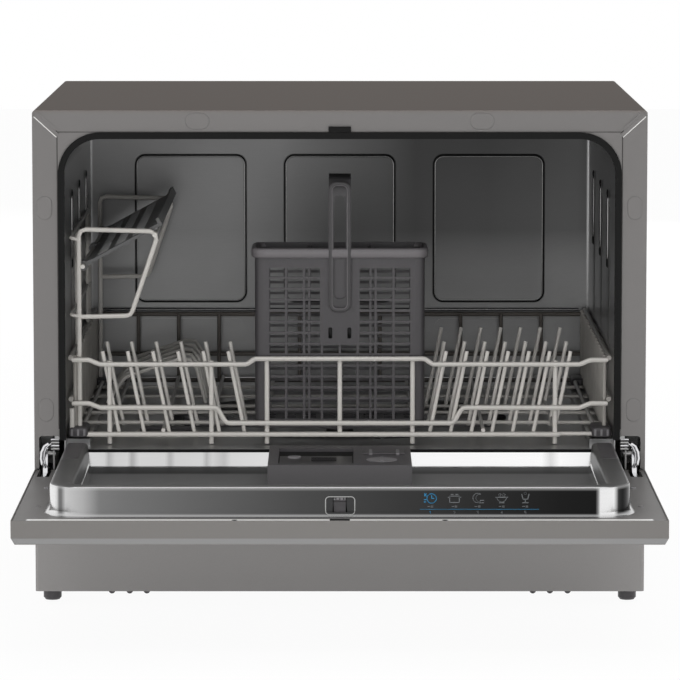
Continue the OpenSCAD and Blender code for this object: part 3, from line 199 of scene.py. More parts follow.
# Painted highlight: the basket plastic made lighter, for the basket's rim and the edges of the handle bezel.
RIM_PLASTIC_HIGHLIGHT = material("rim_plastic_highlight", srgb(100, 97, 99), 0.0, 0.35, 0.06, 400, bump=0.08, bump_scale=1500)
BACKWIRE = material("shaded_wire", srgb(96, 92, 88), 0.0, 0.4, 0.05, 200, bump=0.06, bump_scale=500,
                    spec=0.2)
# Painted highlight: a light strip on the mitre beads and along the door flange's front edge.
PAINT_HIGHLIGHT = material("painted_highlight_edge", srgb(226, 225, 223), 0.0, 0.4, 0.05, 900, bump=0.02, spec=0.1)
SEAM = material("seam_shade", srgb(70, 68, 67), 0.0, 0.6, 0.08, 600, bump=0.02, spec=0.05)
HANDLE = material("handle_plastic", srgb(66, 65, 66), 0.0, 0.42, 0.08, 500, bump=0.10, bump_scale=1600,
                  spec=0.3)
WIRE = material("coated_wire", srgb(194, 191, 186), 0.0, 0.34, 0.05, 200, bump=0.06, bump_scale=500,
                coat=0.15)
PALE = material("pale_plastic", srgb(214, 211, 204), 0.0, 0.5, 0.05, 200, bump=0.06)
GREY = material("grey_plastic", srgb(112, 110, 112), 0.0, 0.4, 0.06, 400, bump=0.08)
MOTOR = material("motor_grey", srgb(122, 123, 124), 0.4, 0.5, 0.06, 300, bump=0.05)
BOARD = material("circuit_board", srgb(44, 92, 54), 0.0, 0.45, 0.12, 160, bump=0.05)
GROOVE = material("groove_shade", srgb(22, 22, 22), 0.6, 0.5, 0.10, 300, bump=0.02)
EDGE = material("edge_light", srgb(176, 176, 175), 1.0, 0.25, 0.05, 200, bump=0.02)
# Painted reflection and highlights on the pan's front wall: greys falling from left to right, bright strips
# near both corners, and lighter lines at the wall's foot and top.
WALL = material("pan_wall_steel", None, 1.0, 0.17, 0.05, 30, (1, 1, 30), 0.02, 60, 0.03, ramp=("X", [
    (-248, grey(150)), (-244, grey(238)), (-239, grey(234)), (-236.5, grey(120)), (-234, grey(112)),
    (-231, grey(202)), (-216, grey(176)), (-202, grey(124)), (-180, grey(115)), (-117, grey(99)),
    (-33, grey(76)), (20, grey(66)), (50, grey(60)), (120, grey(46)), (185, grey(33)),
    (216.5, grey(30)), (218.5, grey(236)), (231, grey(240)), (234, grey(60)), (238, grey(22)),
    (244, grey(26)), (248, grey(96))]),
    lift=("Z", [(121.6, 0.85), (123.6, 0.55), (125.4, 0.0), (144.6, 0.0), (146.6, 0.35), (148, 0.6)],
          grey(205)))
# Painted reflection on the recess's rear wall: near-white, with darker dips where wires are mirrored and
# darker ends.
REARWALL = material("recess_wall_steel", None, 1.0, 0.12, 0.04, 30, (1, 1, 30), 0.02, 60, 0.02, ramp=("X", [
    (-240, grey(130)), (-228, grey(216)), (-212, grey(210)), (-208, grey(176)), (-202, grey(206)),
    (-191, grey(210)), (-187, grey(168)), (-181, grey(212)), (-157, grey(210)), (-153, grey(176)),
    (-148, grey(208)), (-124, grey(212)), (-120, grey(182)), (-115, grey(210)), (-104, grey(190)),
    (-98, grey(214)), (-60, grey(222)), (60, grey(248)), (182, grey(252)), (190, grey(220)),
    (198, grey(252)), (228, grey(242)), (240, grey(140))]))
# Painted reflection and shade on the recess floor: greys darkening towards the hinge end, near-black within
# 42 mm of the rear wall.
RECESS = material("recess_floor_steel", None, 0.0, 0.5, 0.06, 30, (30, 1, 1), 0.02, 60, 0.03, spec=0.06,
                  ramp=("Y", [(-260, grey(126)), (-120, grey(106)), (-52, grey(92)), (-42, grey(12)),
                              (0, grey(8))]))

NODE_MATERIALS = {
    PAINT: "cabinet_wrap rear_panel bumper_caps",
    DOOR_PAINT: "door_outer_panel",
    KICK_PAINT_LIT: "kick_panel",
    TUB: "tub_shell tub_back tub_floor",
    LINER: "door_liner",
    STEEL: "rear_screws hinge_brackets hinge_pins filter_plate "
           "power_button program_button delay_button start_button",
    CHROME: "hinge_springs hinge_arms door_screws",
    SHELF: "cup_shelf",
    BACKWIRE: "rack_back",
    SHADED_SIDE_WIRE: "rack_side_left rack_side_right",
    DARK: "base_tray sump_housing coarse_filter salt_cap dispenser_body latch_claw rubber_feet",
    BASKET: "cutlery_basket cutlery_grids",
    HANDLE: "cutlery_handle",
    LID: "detergent_lid",
    BLACK: "control_console display_window latch_body",
    RUBBER: "latch_striker door_gasket internal_hoses cord_gland",
    WIRE: "rack_front rack_floor rack_glides plate_pins_left "
          "plate_pins_right bowl_supports cup_shelf_frame shelf_rods",
    PALE: "softener_tank inlet_valve air_breather",
    GREY: "drain_outlet spray_arm dispenser_release rinse_aid_cap",
    MOTOR: "wash_pump drain_pump",
    BOARD: "control_board",
}
for m, names in NODE_MATERIALS.items():
    for n in names.split():
        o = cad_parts[n]
        o.data.materials.clear()
        o.data.materials.append(m)


# ---- meshes -------------------------------------------------------------------------------

def piece(name, verts, faces, mats, body, face_mats=None, smooth=False, bevel=0.0):
    """Mesh object from points in source millimetres, riding on a body."""
    me = bpy.data.meshes.new(name)
    me.from_pydata([P(*v) for v in verts], [], faces)
    ob = bpy.data.objects.new(name, me)
    bpy.context.scene.collection.objects.link(ob)
    for m in (mats if isinstance(mats, (list, tuple)) else [mats]):
        me.materials.append(m)
    if face_mats:
        me.polygons.foreach_set("material_index", face_mats)
    if smooth:
        me.polygons.foreach_set("use_smooth", [True] * len(me.polygons))
    if bevel:
        soften(ob, bevel)
    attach(ob, body)
    return ob


def soften(ob, width, segments=2, angle=35):
    b = ob.modifiers.new("bevel", "BEVEL")
    b.width = width / 1000
    b.segments = segments
    b.limit_method = "ANGLE"
    b.angle_limit = math.radians(angle)
    w = ob.modifiers.new("weighted", "WEIGHTED_NORMAL")
    w.keep_sharp = True


def block(name, a, b, m, body, bevel=0.6):
    """Box from corner a to corner b, with rounded edges."""
    v = [(x, y, z) for x in (a[0], b[0]) for y in (a[1], b[1]) for z in (a[2], b[2])]
    f = [(0, 1, 3, 2), (4, 6, 7, 5), (0, 4, 5, 1), (2, 3, 7, 6), (0, 2, 6, 4), (1, 5, 7, 3)]
    return piece(name, v, f, m, body, bevel=bevel)


def rings(name, loops, m, body, closed=True, caps=False, smooth=True, face_mats=None, skip=None):
    """Surface through loops of points that all have the same length."""
    n = len(loops[0])
    v = [p for l in loops for p in l]
    f, fm = [], []
    for i in range(len(loops) - 1):
        for j in range(n if closed else n - 1):
            k = (j + 1) % n
            if skip and skip(i, j):
                continue
            f.append((i * n + j, i * n + k, (i + 1) * n + k, (i + 1) * n + j))
            fm.append(face_mats[i] if face_mats else 0)
    if caps:
        f += [tuple(range(n))[::-1], tuple(range((len(loops) - 1) * n, len(loops) * n))]
        fm += [0, 0]
    return piece(name, v, f, m, body, fm, smooth)


def rounded_path(p, r, seg=6):
    """Points of an open path with its inner corners rounded."""
    out = [Vector(p[0])]
    for a, b, c in zip(p, p[1:], p[2:]):
        a, b, c = Vector(a), Vector(b), Vector(c)
        u, v = (b - a).normalized(), (c - b).normalized()
        half = math.acos(max(-1, min(1, u.dot(v)))) / 2
        if half < 0.02:
            out.append(b)
            continue
        t = r * math.tan(half)
        o = b + (v - u).normalized() * (r / math.cos(half))
        s, e = b - u * t - o, b + v * t - o
        for i in range(seg + 1):
            w = i / seg
            q = (s * math.sin((1 - w) * 2 * half) + e * math.sin(w * 2 * half)) / math.sin(2 * half)
            out.append(o + q)
    out.append(Vector(p[-1]))
    return out


def wire(name, path, d, m, body, sides=12, caps=True):
    """Round wire swept along a path."""
    path = [Vector(q) for q in path]
    n = None
    loops = []
    for i, q in enumerate(path):
        t = (path[min(i + 1, len(path) - 1)] - path[max(i - 1, 0)]).normalized()
        if n is None:
            n = t.orthogonal().normalized()
        n = (n - t * n.dot(t)).normalized()
        b = t.cross(n)
        loops.append([q + (n * math.cos(k * 2 * math.pi / sides) + b * math.sin(k * 2 * math.pi / sides))
                      * d / 2 for k in range(sides)])
    return rings(name, loops, m, body, caps=caps)


def disc(name, c, axis, profile, m, body, sides=32):
    """Turned piece: profile is a list of (radius, height along axis) from c."""
    axis = Vector(axis).normalized()
    u = axis.orthogonal().normalized()
    w = axis.cross(u)
    c = Vector(c)
    loops = [[c + axis * h + (u * math.cos(k * 2 * math.pi / sides) + w * math.sin(k * 2 * math.pi / sides))
              * max(r, 0.01) for k in range(sides)] for r, h in profile]
    ob = rings(name, loops, m, body, caps=True)
    soften(ob, 0.15, 1, 30)
    return ob


def round_rect(x0, z0, x1, z1, r, seg=8):
    """Corner-rounded rectangle, anticlockwise."""
    out = []
    for cx, cz, a in ((x1 - r, z0 + r, -90), (x1 - r, z1 - r, 0),
                      (x0 + r, z1 - r, 90), (x0 + r, z0 + r, 180)):
        for i in range(seg + 1):
            q = math.radians(a + i * 90 / seg)
            out.append((cx + r * math.cos(q), cz + r * math.sin(q)))
    return out


# ---- tub ----------------------------------------------------------------------------------

TUB_BACK = 440.0            # front face of the back wall
PANEL_STEP = 147.93         # between the middles of the pressed panels
PANEL_HALF = 54
PANEL_LOW, PANEL_HIGH = 229.5, 374.0
PANEL_EDGE = [(-1.5, 1.41), (-1.0, 1.7), (-0.4, 1.6), (0.0, 1.0), (0.9, 0.3), (1.4, 0.4), (2.0, 0.05)]
for j in (-1, 0, 1):
    cx = j * PANEL_STEP
    loops = []
    for off, h in PANEL_EDGE:
        loops.append([(x, TUB_BACK - h, z) for x, z in
                      round_rect(cx - PANEL_HALF - off, PANEL_LOW - off, cx + PANEL_HALF + off,
                                 PANEL_HIGH + off, 9 + off)])
    rings(f"panel_edge_{j + 1}", loops, [EDGE, GROOVE, TUB], "cabinet", face_mats=[2, 0, 1, 1, 1, 2])
CREASE_HALF = 238
for k, (z, h) in enumerate(((221, 1.0), (150.5, 0.6))):
    loops = [[(x, TUB_BACK - y, z + dz) for x in (-CREASE_HALF, CREASE_HALF)]
             for dz, y in ((-1.6, 0.02), (-0.8, h), (0.0, h), (0.9, 0.3), (2.0, 0.02))]
    rings(f"wall_crease_{k}", loops, [TUB, GROOVE, EDGE], "cabinet", closed=False, face_mats=[0, 2, 1, 0])
RIB_FACE = 246.3            # inner face of the side wall's rib
RIB_YS = (110.0, 224.4, 338.8)
for s in (-1, 1):
    for k, y in enumerate(RIB_YS):
        for part, (z0, z1, m) in enumerate(((362, 366, GROOVE), (304, 361, EDGE), (297, 303, GROOVE))):
            loops = []
            for off, h in ((1.6, 0.0), (0.6, 0.9), (-0.4, 1.1)):
                loops.append([(s * (RIB_FACE - h), yy, zz) for yy, zz in
                              round_rect(y - 8 - off, z0 - off, y + 2 + off, z1 + off, 2.0 + off * 0.5, 3)])
            rings(f"side_rib_{s + 1}_{k}_{part}", loops, m, "cabinet", caps=True)

# ---- front frame: flange corners, mitre beads and seams -----------------------------------

MOUTH_HALF, MOUTH_TOP = 252.2, 427.3        # edges of the opening in the front frame
CORNER_R = 37.4
BEAD_OUT = (272.4, 441.6)
BEAD_IN = (252.6, 423.6)
for s in (-1, 1):
    arc_pts = [(s * (MOUTH_HALF - CORNER_R + CORNER_R * math.cos(math.radians(q))), -0.5,
                MOUTH_TOP - CORNER_R + CORNER_R * math.sin(math.radians(q))) for q in range(0, 91, 6)]
    piece(f"flange_corner_{s + 1}", [(s * MOUTH_HALF, -0.5, MOUTH_TOP)] + arc_pts,
          [tuple(range(len(arc_pts) + 1))], PAINT, "cabinet")
    piece(f"side_seam_{s + 1}", [(s * 252.2, -0.1, 160), (s * 253.2, -0.1, 160), (s * 253.2, -0.1, 426.8),
                                 (s * 252.2, -0.1, 426.8)], [(0, 1, 2, 3)], SEAM, "cabinet")
    (x0, z0), (x1, z1) = BEAD_OUT, BEAD_IN
    d = Vector((x1 - x0, z1 - z0)).normalized()
    n = Vector((-d.y, d.x))
    # Each bead: a ridge in the frame's paint, a painted highlight strip along one side and a painted shade
    # line along the other.
    for part, (lo, hi, h, m) in enumerate(((-2.9, 0.6, 0.9, PAINT), (0.2, 1.3, 1.0, PAINT_HIGHLIGHT),
                                          (-3.5, -2.6, 0.5, SEAM))):
        loops = []
        for off, y in ((0.0, 0.0), (0.25, -h * 0.7), (0.7, -h)):
            pts = [(x0 - d.x * off + n.x * (lo + off * 0.4), z0 - d.y * off + n.y * (lo + off * 0.4)),
                   (x1 - d.x * off + n.x * (lo + off * 0.4), z1 - d.y * off + n.y * (lo + off * 0.4)),
                   (x1 - d.x * off + n.x * (hi - off * 0.4), z1 - d.y * off + n.y * (hi - off * 0.4)),
                   (x0 - d.x * off + n.x * (hi - off * 0.4), z0 - d.y * off + n.y * (hi - off * 0.4))]
            loops.append([(s * x, y, z) for x, z in pts])
        rings(f"mitre_bead_{s + 1}_{part}", loops, m, "cabinet", caps=True, smooth=False)
piece("top_seam", [(-252.4, -0.1, 427.3), (252.4, -0.1, 427.3), (252.4, -0.1, 428.0), (-252.4, -0.1, 428.0)],
      [(0, 1, 2, 3)], SEAM, "cabinet")

# ---- rack: side lattice and shelf web -----------------------------------------------------

for k, z in enumerate((329, 259)):
    wire(f"lattice_rail_{k}", rounded_path([(-238.4, 37.5, z - 1), (-243.4, 30, z), (-243.4, 330, z),
                                            (-243.4, 336, z - 8)], 4), 3.4, WIRE, "rack")
for k, y in enumerate((122, 139, 300, 318, 334)):
    wire(f"lattice_post_{k}", [(-243.4, y, 222), (-243.4, y, 328)], 3.4, WIRE, "rack")

# ---- basket: rounded rim ------------------------------------------------------------------

BASKET_HALF = 77
BASKET_FRONT, BASKET_BACK = 34.2, 96.0
RIM_SECTION = [(0.4, 311.0), (2.6, 311.4), (3.2, 312.6), (3.2, 317.6), (2.6, 319.2), (1.2, 320.1),
               (-0.6, 320.3), (-1.6, 319.6), (-2.0, 316.0)]
loops = []
for off, z in RIM_SECTION:
    loops.append([(x, y, z) for x, y in
                  round_rect(-BASKET_HALF - off, BASKET_FRONT - off, BASKET_HALF + off, BASKET_BACK + off,
                             12 + off)])
# The rim is painted lighter than the basket as a painted highlight.
rings("basket_rim", loops, RIM_PLASTIC_HIGHLIGHT, "cutlery")

BEZEL_HALF = 10.3
BEZEL_LOW, BEZEL_HIGH = 262, 380.5
loops = []
for off, y in ((0.0, 31.9), (0.3, 31.0), (1.2, 30.5), (2.2, 30.5), (3.0, 30.9), (3.8, 31.7)):
    loops.append([(x, y, z) for x, z in
                  round_rect(-BEZEL_HALF + off, BEZEL_LOW + off, BEZEL_HALF - off, BEZEL_HIGH - off,
                             8 - off, 6)])
# The bezel's edges carry the painted highlight; its middle is handle plastic.
rings("handle_bezel", loops, [HANDLE, RIM_PLASTIC_HIGHLIGHT], "cutlery", face_mats=[1, 0, 0, 0, 1])
SLOT_Z = 243
for k, x in enumerate((-8.6, 8.6)):
    loops = [[(px, y, pz) for px, pz in
              round_rect(x - 1.7, SLOT_Z - 5, x + 1.7, SLOT_Z + 5, 1.2, 3)] for y in (36.2, 34.9)]
    rings(f"basket_slot_{k}", loops, GROOVE, "cutlery", caps=True)

# ---- caps that the closed door rests against ----------------------------------------------

caps = [(s * 127.3, 437.4, 10.8, 7.4) for s in (-1, 1)]
caps += [(s * 264.2, z, 6.6, 10.6) for s in (-1, 1) for z in (359.6, 177.3)]
for k, (x, z, w, h) in enumerate(caps):
    loops = []
    for off, y in ((0.0, 0.0), (0.15, -0.35), (0.9, -0.55), (1.6, -0.55)):
        loops.append([(px, y, pz) for px, pz in
                      round_rect(x - w + off, z - h + off, x + w - off, z + h - off,
                                 min(w, h) - off - 0.2, 8)])
    c = rings(f"door_rest_{k}", loops, PAINT, "cabinet", caps=True)
    if k == 0:
        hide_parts("bumper_caps")

# ---- door liner ---------------------------------------------------------------------------

FLANGE = 122.4              # top of the door's flat flange
RIM = 147.7                 # top of the pan's rim
PAN_HALF, PAN_FRONT, PAN_R = 245.7, -274.4, 32.0
RIM_W = 19.4
WALL_Y = -4.0               # where the pan's side walls end at the back
NOTCH_HALF = 12.0           # half of the gap for the latch in the pan's front wall


def pan_outline(t, y1=WALL_Y):
    """Open outline of the pan shrunk by t: left side, front with both corners, right side."""
    r = max(PAN_R - t * 18 / RIM_W, 2)
    h = PAN_HALF - t
    y0 = PAN_FRONT + t
    pts = [(-h, y1 + (y0 + r - y1) * i / 10) for i in range(10)]
    pts += [(-h + r - r * math.cos(q), y0 + r - r * math.sin(q))
            for q in (math.radians(90 * i / 16) for i in range(17))]
    inner = h - r
    steps = [inner * i / 12 for i in range(1, 12)]
    xs = [-x for x in steps] + [-NOTCH_HALF, NOTCH_HALF] + steps
    pts += [(x, y0) for x in sorted(xs)]
    pts += [(h - r + r * math.cos(q), y0 + r - r * math.sin(q))
            for q in (math.radians(90 * (1 - i / 16)) for i in range(17))]
    pts += [(h, y0 + r + (y1 - y0 - r) * i / 10) for i in range(1, 11)]
    return pts


PROFILE = [(-4.5, FLANGE), (-2.6, 122.5), (-1.3, 123.0), (-0.5, 123.8), (-0.1, 125.0), (0.0, 126.5),
           (0.05, 139.6), (0.1, 144.6), (0.3, 146.2), (0.8, 147.1), (1.6, 147.5), (3.0, RIM), (15.0, RIM),
           (17.0, 147.4), (18.4, 146.4), (19.1, 144.6), (19.4, 142.0), (19.7, 129.5), (20.4, 127.6),
           (22.0, 126.4), (24.5, 126.03)]
RECESS_INSET, RECESS_Z = PROFILE[-1]
RECESS_BACK, RECESS_FRONT = -4.9, -225
NOTCH_BAND = 5              # band of the profile that the latch opening goes through
notch = next(j for j, (x, y) in enumerate(pan_outline(0)) if x == -NOTCH_HALF)
loops = [[(x, y, z) for x, y in pan_outline(t)] for t, z in PROFILE]
rings("liner_pan", loops, [WALL, LINER, RECESS, RIM_TOP], "door", closed=False,
      face_mats=[0] * 9 + [3] * 8 + [1, 2, 2], skip=lambda i, j: i == NOTCH_BAND and j == notch)
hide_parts("door_liner")

floor_half = PAN_HALF - RECESS_INSET
grid_y = [RECESS_BACK, -20, -40, -44, -50, -60, -90, -120, -150, -180, -200, -215, RECESS_FRONT]
loops = [[(x, y, RECESS_Z) for x in (-floor_half, -130, 0, 130, floor_half)] for y in grid_y]
rings("recess_floor", loops, RECESS, "door", closed=False, smooth=False)
front_cap = [(x, y, RECESS_Z) for x, y in pan_outline(RECESS_INSET) if y < RECESS_FRONT + 1]
piece("recess_floor_front",
      front_cap + [(floor_half, RECESS_FRONT, RECESS_Z), (-floor_half, RECESS_FRONT, RECESS_Z)],
      [tuple(range(len(front_cap) + 2))], RECESS, "door")

REAR_HALF, REAR_STEPS = 227.5, 40
rear_xs = [-REAR_HALF + 2 * REAR_HALF * i / REAR_STEPS for i in range(REAR_STEPS + 1)]
loops = [[(x, y, z) for x in rear_xs] for y, z in
         ((-5.2, 126.06), (-5.1, 127.0), (-1.7, 138.2), (-1.2, 138.9), (0.4, 139.1))]
rings("recess_rear_wall", loops, REARWALL, "door", closed=False, smooth=False)

# flat flange round the pan
plates = [(-274, -297, 274, -40), (-259.5, -40, 259.5, -2), (-274, -40, -270.5, -2), (270.5, -40, 274, -2)]
fv, ff = [], []
for x0, y0, x1, y1 in plates:
    k = len(fv)
    fv += [(x0, y0, FLANGE - 0.02), (x1, y0, FLANGE - 0.02), (x1, y1, FLANGE - 0.02), (x0, y1, FLANGE - 0.02)]
    ff.append((k, k + 1, k + 2, k + 3))
piece("liner_flange", fv, ff, FLANGE_STEEL, "door")
LINE_HALF, LINE_Z = 262, 122.5
# Painted highlight line along the flange's front edge.
piece("flange_line", [(-LINE_HALF, -297.3, LINE_Z), (LINE_HALF, -297.3, LINE_Z),
                      (LINE_HALF, -285.5, LINE_Z), (-LINE_HALF, -285.5, LINE_Z)],
      [(0, 1, 2, 3)], PAINT_HIGHLIGHT, "door")
loops = [[(x, y, z) for x in (-274, 274)] for y, z in ((-297.0, FLANGE), (-297.6, 122.2), (-297.9, 121.6))]
rings("flange_lip", loops, EDGE, "door", closed=False)

# ---- latch opening and legend on the pan's front wall -------------------------------------

loops = []
for off, h in ((1.3, 0.0), (1.0, 0.3), (0.5, 0.42), (0.1, 0.3), (0.0, 0.0), (0.0, -2.5)):
    loops.append([(x, PAN_FRONT - h, z) for x, z in
                  round_rect(-11.4 - off, 125.0 - off, 12.0 + off, 139.2 + off, 2.6 + off)])
rings("latch_frame", loops, [EDGE, BLACK], "door", face_mats=[1, 0, 0, 1, 1])
block("latch_bar", (-4.9, -271.95, 136.4), (4.9, -271.5, 138.9), GREY, "claw", 0.15)
for k, x in enumerate((-3.3, 0.0, 3.3)):
    block(f"latch_notch_{k}", (x - 0.5, -272.1, 136.8), (x + 0.5, -271.9, 138.5), BLACK, "claw", 0.04)
block("latch_tab", (-8.4, -297.6, 122.3), (8.4, -286.0, 122.9), RUBBER, "door", 0.3)

PRINT_LIFT = 0.06           # the print stands this far in front of the wall
BLUE = material("print_blue", srgb(44, 118, 158), 0.0, 0.5, 0.04, 300, spec=0.1)
PRINT = material("print_grey", srgb(96, 98, 100), 0.0, 0.5, 0.04, 300, spec=0.1)


def strokes(name, lines, m, width=0.5):
    """Flat printed strokes on the front wall, from lists of (x, z) points."""
    v, f = [], []
    for line in lines:
        for (x0, z0), (x1, z1) in zip(line, line[1:]):
            d = Vector((x1 - x0, z1 - z0))
            if d.length < 1e-6:
                continue
            n = Vector((-d.y, d.x)).normalized() * width / 2
            e = d.normalized() * width * 0.3
            k = len(v)
            for px, pz in ((x0 - e.x - n.x, z0 - e.y - n.y), (x1 + e.x - n.x, z1 + e.y - n.y),
                           (x1 + e.x + n.x, z1 + e.y + n.y), (x0 - e.x + n.x, z0 - e.y + n.y)):
                v.append((px, PAN_FRONT - PRINT_LIFT, pz))
            f.append((k, k + 1, k + 2, k + 3))
    return piece(name, v, f, m, "door")


def arc(cx, cz, r, a0, a1, n=14):
    return [(cx + r * math.cos(math.radians(a0 + (a1 - a0) * i / n)),
             cz + r * math.sin(math.radians(a0 + (a1 - a0) * i / n))) for i in range(n + 1)]


def at(x, z, s, lines):
    return [[(x + px * s, z + pz * s) for px, pz in l] for l in lines]


ICONS = {
    "clock": [arc(1, 0, 4, 0, 360, 20), [(1, 2.4), (1, 0), (3, 0)], [(-5, 4), (-3.6, 2)],
              [(-3.6, 4), (-5, 2)], [(-5.2, -1), (-3.6, -1)], [(-5.4, -3), (-3.8, -3)]],
    "pot": [[(-4, 2), (-4, -3.4), (4, -3.4), (4, 2), (-4, 2)], [(-5.4, 1), (-4, 1)], [(4, 1), (5.4, 1)],
            [(-3, 3.4), (-1, 3.4)], [(1, 3.4), (3, 3.4)]],
    "moon": [arc(0, 0.4, 4, 60, 300), arc(1.6, 0.4, 3.1, 80, 280), [(1, -3.6), (5, -3.6)],
             [(2, -1.6), (5, -1.6)]],
    "bowl": [arc(0, 1, 4, 180, 360), [(-5, 1), (5, 1)], [(-2, -3.6), (2, -3.6)], arc(-1.6, 3, 1, 0, 300, 8),
             arc(1.8, 3, 1, 0, 300, 8)],
    "glass": [[(-3, 3.6), (-2, -0.6), (2, -0.6), (3, 3.6)], [(0, -0.6), (0, -3.4)],
              [(-2.4, -3.6), (2.4, -3.6)], arc(0, 4.4, 0.9, 0, 360, 8)],
}
LEGEND_XS = (76.1, 96.3, 115.8, 136.0, 155.8)
ICON_Z, MARK_Z, NUMBER_Z, LEGEND_LINE_Z = 138.4, 131.6, 126.4, 129.2
NUMBER_SCALE = 0.62
MARKS = [[(-2.4, 0), (-0.6, 0)], [(0.4, 0.4), (2.2, 0.4)], [(0.4, -0.5), (2.2, -0.5)]]
for k, (kind, x) in enumerate(zip(ICONS, LEGEND_XS)):
    strokes(f"legend_{k}", at(x, ICON_Z, 1.0, ICONS[kind]), BLUE if k == 0 else PRINT, 0.7)
    strokes(f"legend_mark_{k}", at(x, MARK_Z, 1.0, MARKS), PRINT, 0.5)
DIGITS = {"1": [[(-1, 1.2), (0, 2), (0, -2)]],
          "2": [[(-1.2, 1.4), (0, 2), (1.2, 1.2), (1, 0.2), (-1.2, -2), (1.3, -2)]],
          "3": [[(-1.2, 1.8), (1.1, 1.8), (0, 0.3), (1.2, -0.8), (0.4, -2), (-1.2, -1.7)]],
          "4": [[(0.6, -2), (0.6, 2), (-1.3, -0.7), (1.5, -0.7)]],
          "5": [[(1.1, 2), (-1, 2), (-1.1, 0.3), (0.6, 0.4), (1.2, -0.8), (0.3, -2), (-1.2, -1.7)]]}
for k, x in enumerate(LEGEND_XS):
    strokes(f"legend_number_{k}", at(x, NUMBER_Z, NUMBER_SCALE, DIGITS[str(k + 1)]),
            BLUE if k == 0 else PRINT, 0.4)
strokes("legend_line", [[(67.3, LEGEND_LINE_Z), (167.3, LEGEND_LINE_Z)]], BLUE, 0.3)

# ---- dark tracks on the rim's rear ends, and the rack's glides ----------------------------

TRACK_MID = (237.6, 136)
TRACK_TAPER = [(-104.0, 0.90), (-101.5, 0.97), (-98.0, 1.0), (-30.0, 1.0), (-8.0, 1.0), (-5.0, 0.97),
               (-3.4, 0.9)]
GLIDE_MID = (237.0, 153.5)
for s in (-1, 1):
    loops = []
    for y, k in TRACK_TAPER:
        loops.append([(s * (TRACK_MID[0] + (x - TRACK_MID[0]) * k), y,
                       TRACK_MID[1] + (z - TRACK_MID[1]) * k) for x, z in
                      round_rect(228.2, 124.2, 245.8, 148.5, 3.4, 5)])
    rings(f"rim_track_{s + 1}", loops, DARK, "door", caps=True)
    for k, (y0, y1) in enumerate(((23.2, 64.0), (382.0, 420.0))):
        loops = []
        for y, f in ((y0, 0.78), (y0 + 0.8, 0.93), (y0 + 2.4, 1.0), (y1 - 2.4, 1.0), (y1 - 0.8, 0.93),
                     (y1, 0.78)):
            loops.append([(s * (GLIDE_MID[0] + (x - GLIDE_MID[0]) * f), y,
                           GLIDE_MID[1] + (z - GLIDE_MID[1]) * f) for x, z in
                          round_rect(228.4, 149.0, 245.6, 158.0, 3, 5)])
        g = rings(f"glide_{s + 1}_{k}", loops, DARK, "rack", caps=True)
        if s == -1 and k == 0:
            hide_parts("rack_glides")
        for q in range(3):
            block(f"glide_rib_{s + 1}_{k}_{q}", (s * 230.4 + q * s * 5.6, y0 - 0.5, 150.6),
                  (s * 232.4 + q * s * 5.6, y0 + 0.6, 156.4), GREY, "rack", 0.3)

# ---- hinge arms: curved chrome cheeks and ribbed bushes -----------------------------------

CHEEK_PATH = [(262.0, 147.5), (265.6, 144.5), (267.8, 139.5), (268.4, 134.0), (267.4, 129.0), (264.6, 124.6)]
CHEEK_FRONT, CHEEK_EDGE, CHEEK_BACK = -6.2, -5.6, -1
BUSH_LOW, BUSH_STEP = 141.4, 2.9
for s in (-1, 1):
    for part, (dx, w) in enumerate(((0.0, 3.0), (2.4, 1.4))):
        section = [(-w / 2, CHEEK_EDGE), (-w / 4, CHEEK_FRONT), (w / 4, CHEEK_FRONT), (w / 2, CHEEK_EDGE),
                   (w / 2, CHEEK_BACK), (-w / 2, CHEEK_BACK)]
        loops = []
        for i, (x, z) in enumerate(CHEEK_PATH):
            a = Vector(CHEEK_PATH[max(i - 1, 0)])
            c = Vector(CHEEK_PATH[min(i + 1, len(CHEEK_PATH) - 1)])
            n = Vector((c.y - a.y, a.x - c.x)).normalized()
            loops.append([(s * (x - dx + n.x * e), y, z + n.y * e) for e, y in section])
        rings(f"hinge_cheek_{s + 1}_{part}", loops, CHROME, "door", caps=True)
    for k in range(4):
        disc(f"hinge_bush_{s + 1}_{k}", (s * 252.6, 2.2, BUSH_LOW + k * BUSH_STEP), (s, 0, 0),
             [(1.0, 0), (1.3, 0.4), (1.3, 7.4), (1.0, 7.8)], CHROME if k % 2 else EDGE, "cabinet", 16)

# ---- dispenser: dark slide bed and the rinse aid tab --------------------------------------

BED_Z = 142.6
piece("slide_bed", [(-54, -116, BED_Z), (12, -116, BED_Z), (12, -22, BED_Z), (-54, -22, BED_Z)],
      [(0, 1, 2, 3)], RUBBER, "door")
block("dispenser_tab", (20, -62, 145.3), (58, -32, 146.9), DARK, "door", 0.9)
for k, x in enumerate((26, 50)):
    block(f"dispenser_hook_{k}", (x, -66, 145.3), (x + 3, -40, 147.3), GREY, "door", 0.5)

# ---- stage, light and camera --------------------------------------------------------------

FLOOR_WHITE = 0.95      # share of the floor's seen colour that is plain white


def is_seen(nt):
    """1 for camera, reflected and transmitted rays, 0 for the light that falls on things."""
    lp = nt.nodes.new("ShaderNodeLightPath")
    last = lp.outputs["Is Camera Ray"]
    for other in ("Is Glossy Ray", "Is Transmission Ray"):
        mx = nt.nodes.new("ShaderNodeMath")
        mx.operation = "MAXIMUM"
        nt.links.new(last, mx.inputs[0])
        nt.links.new(lp.outputs[other], mx.inputs[1])
        last = mx.outputs[0]
    return last


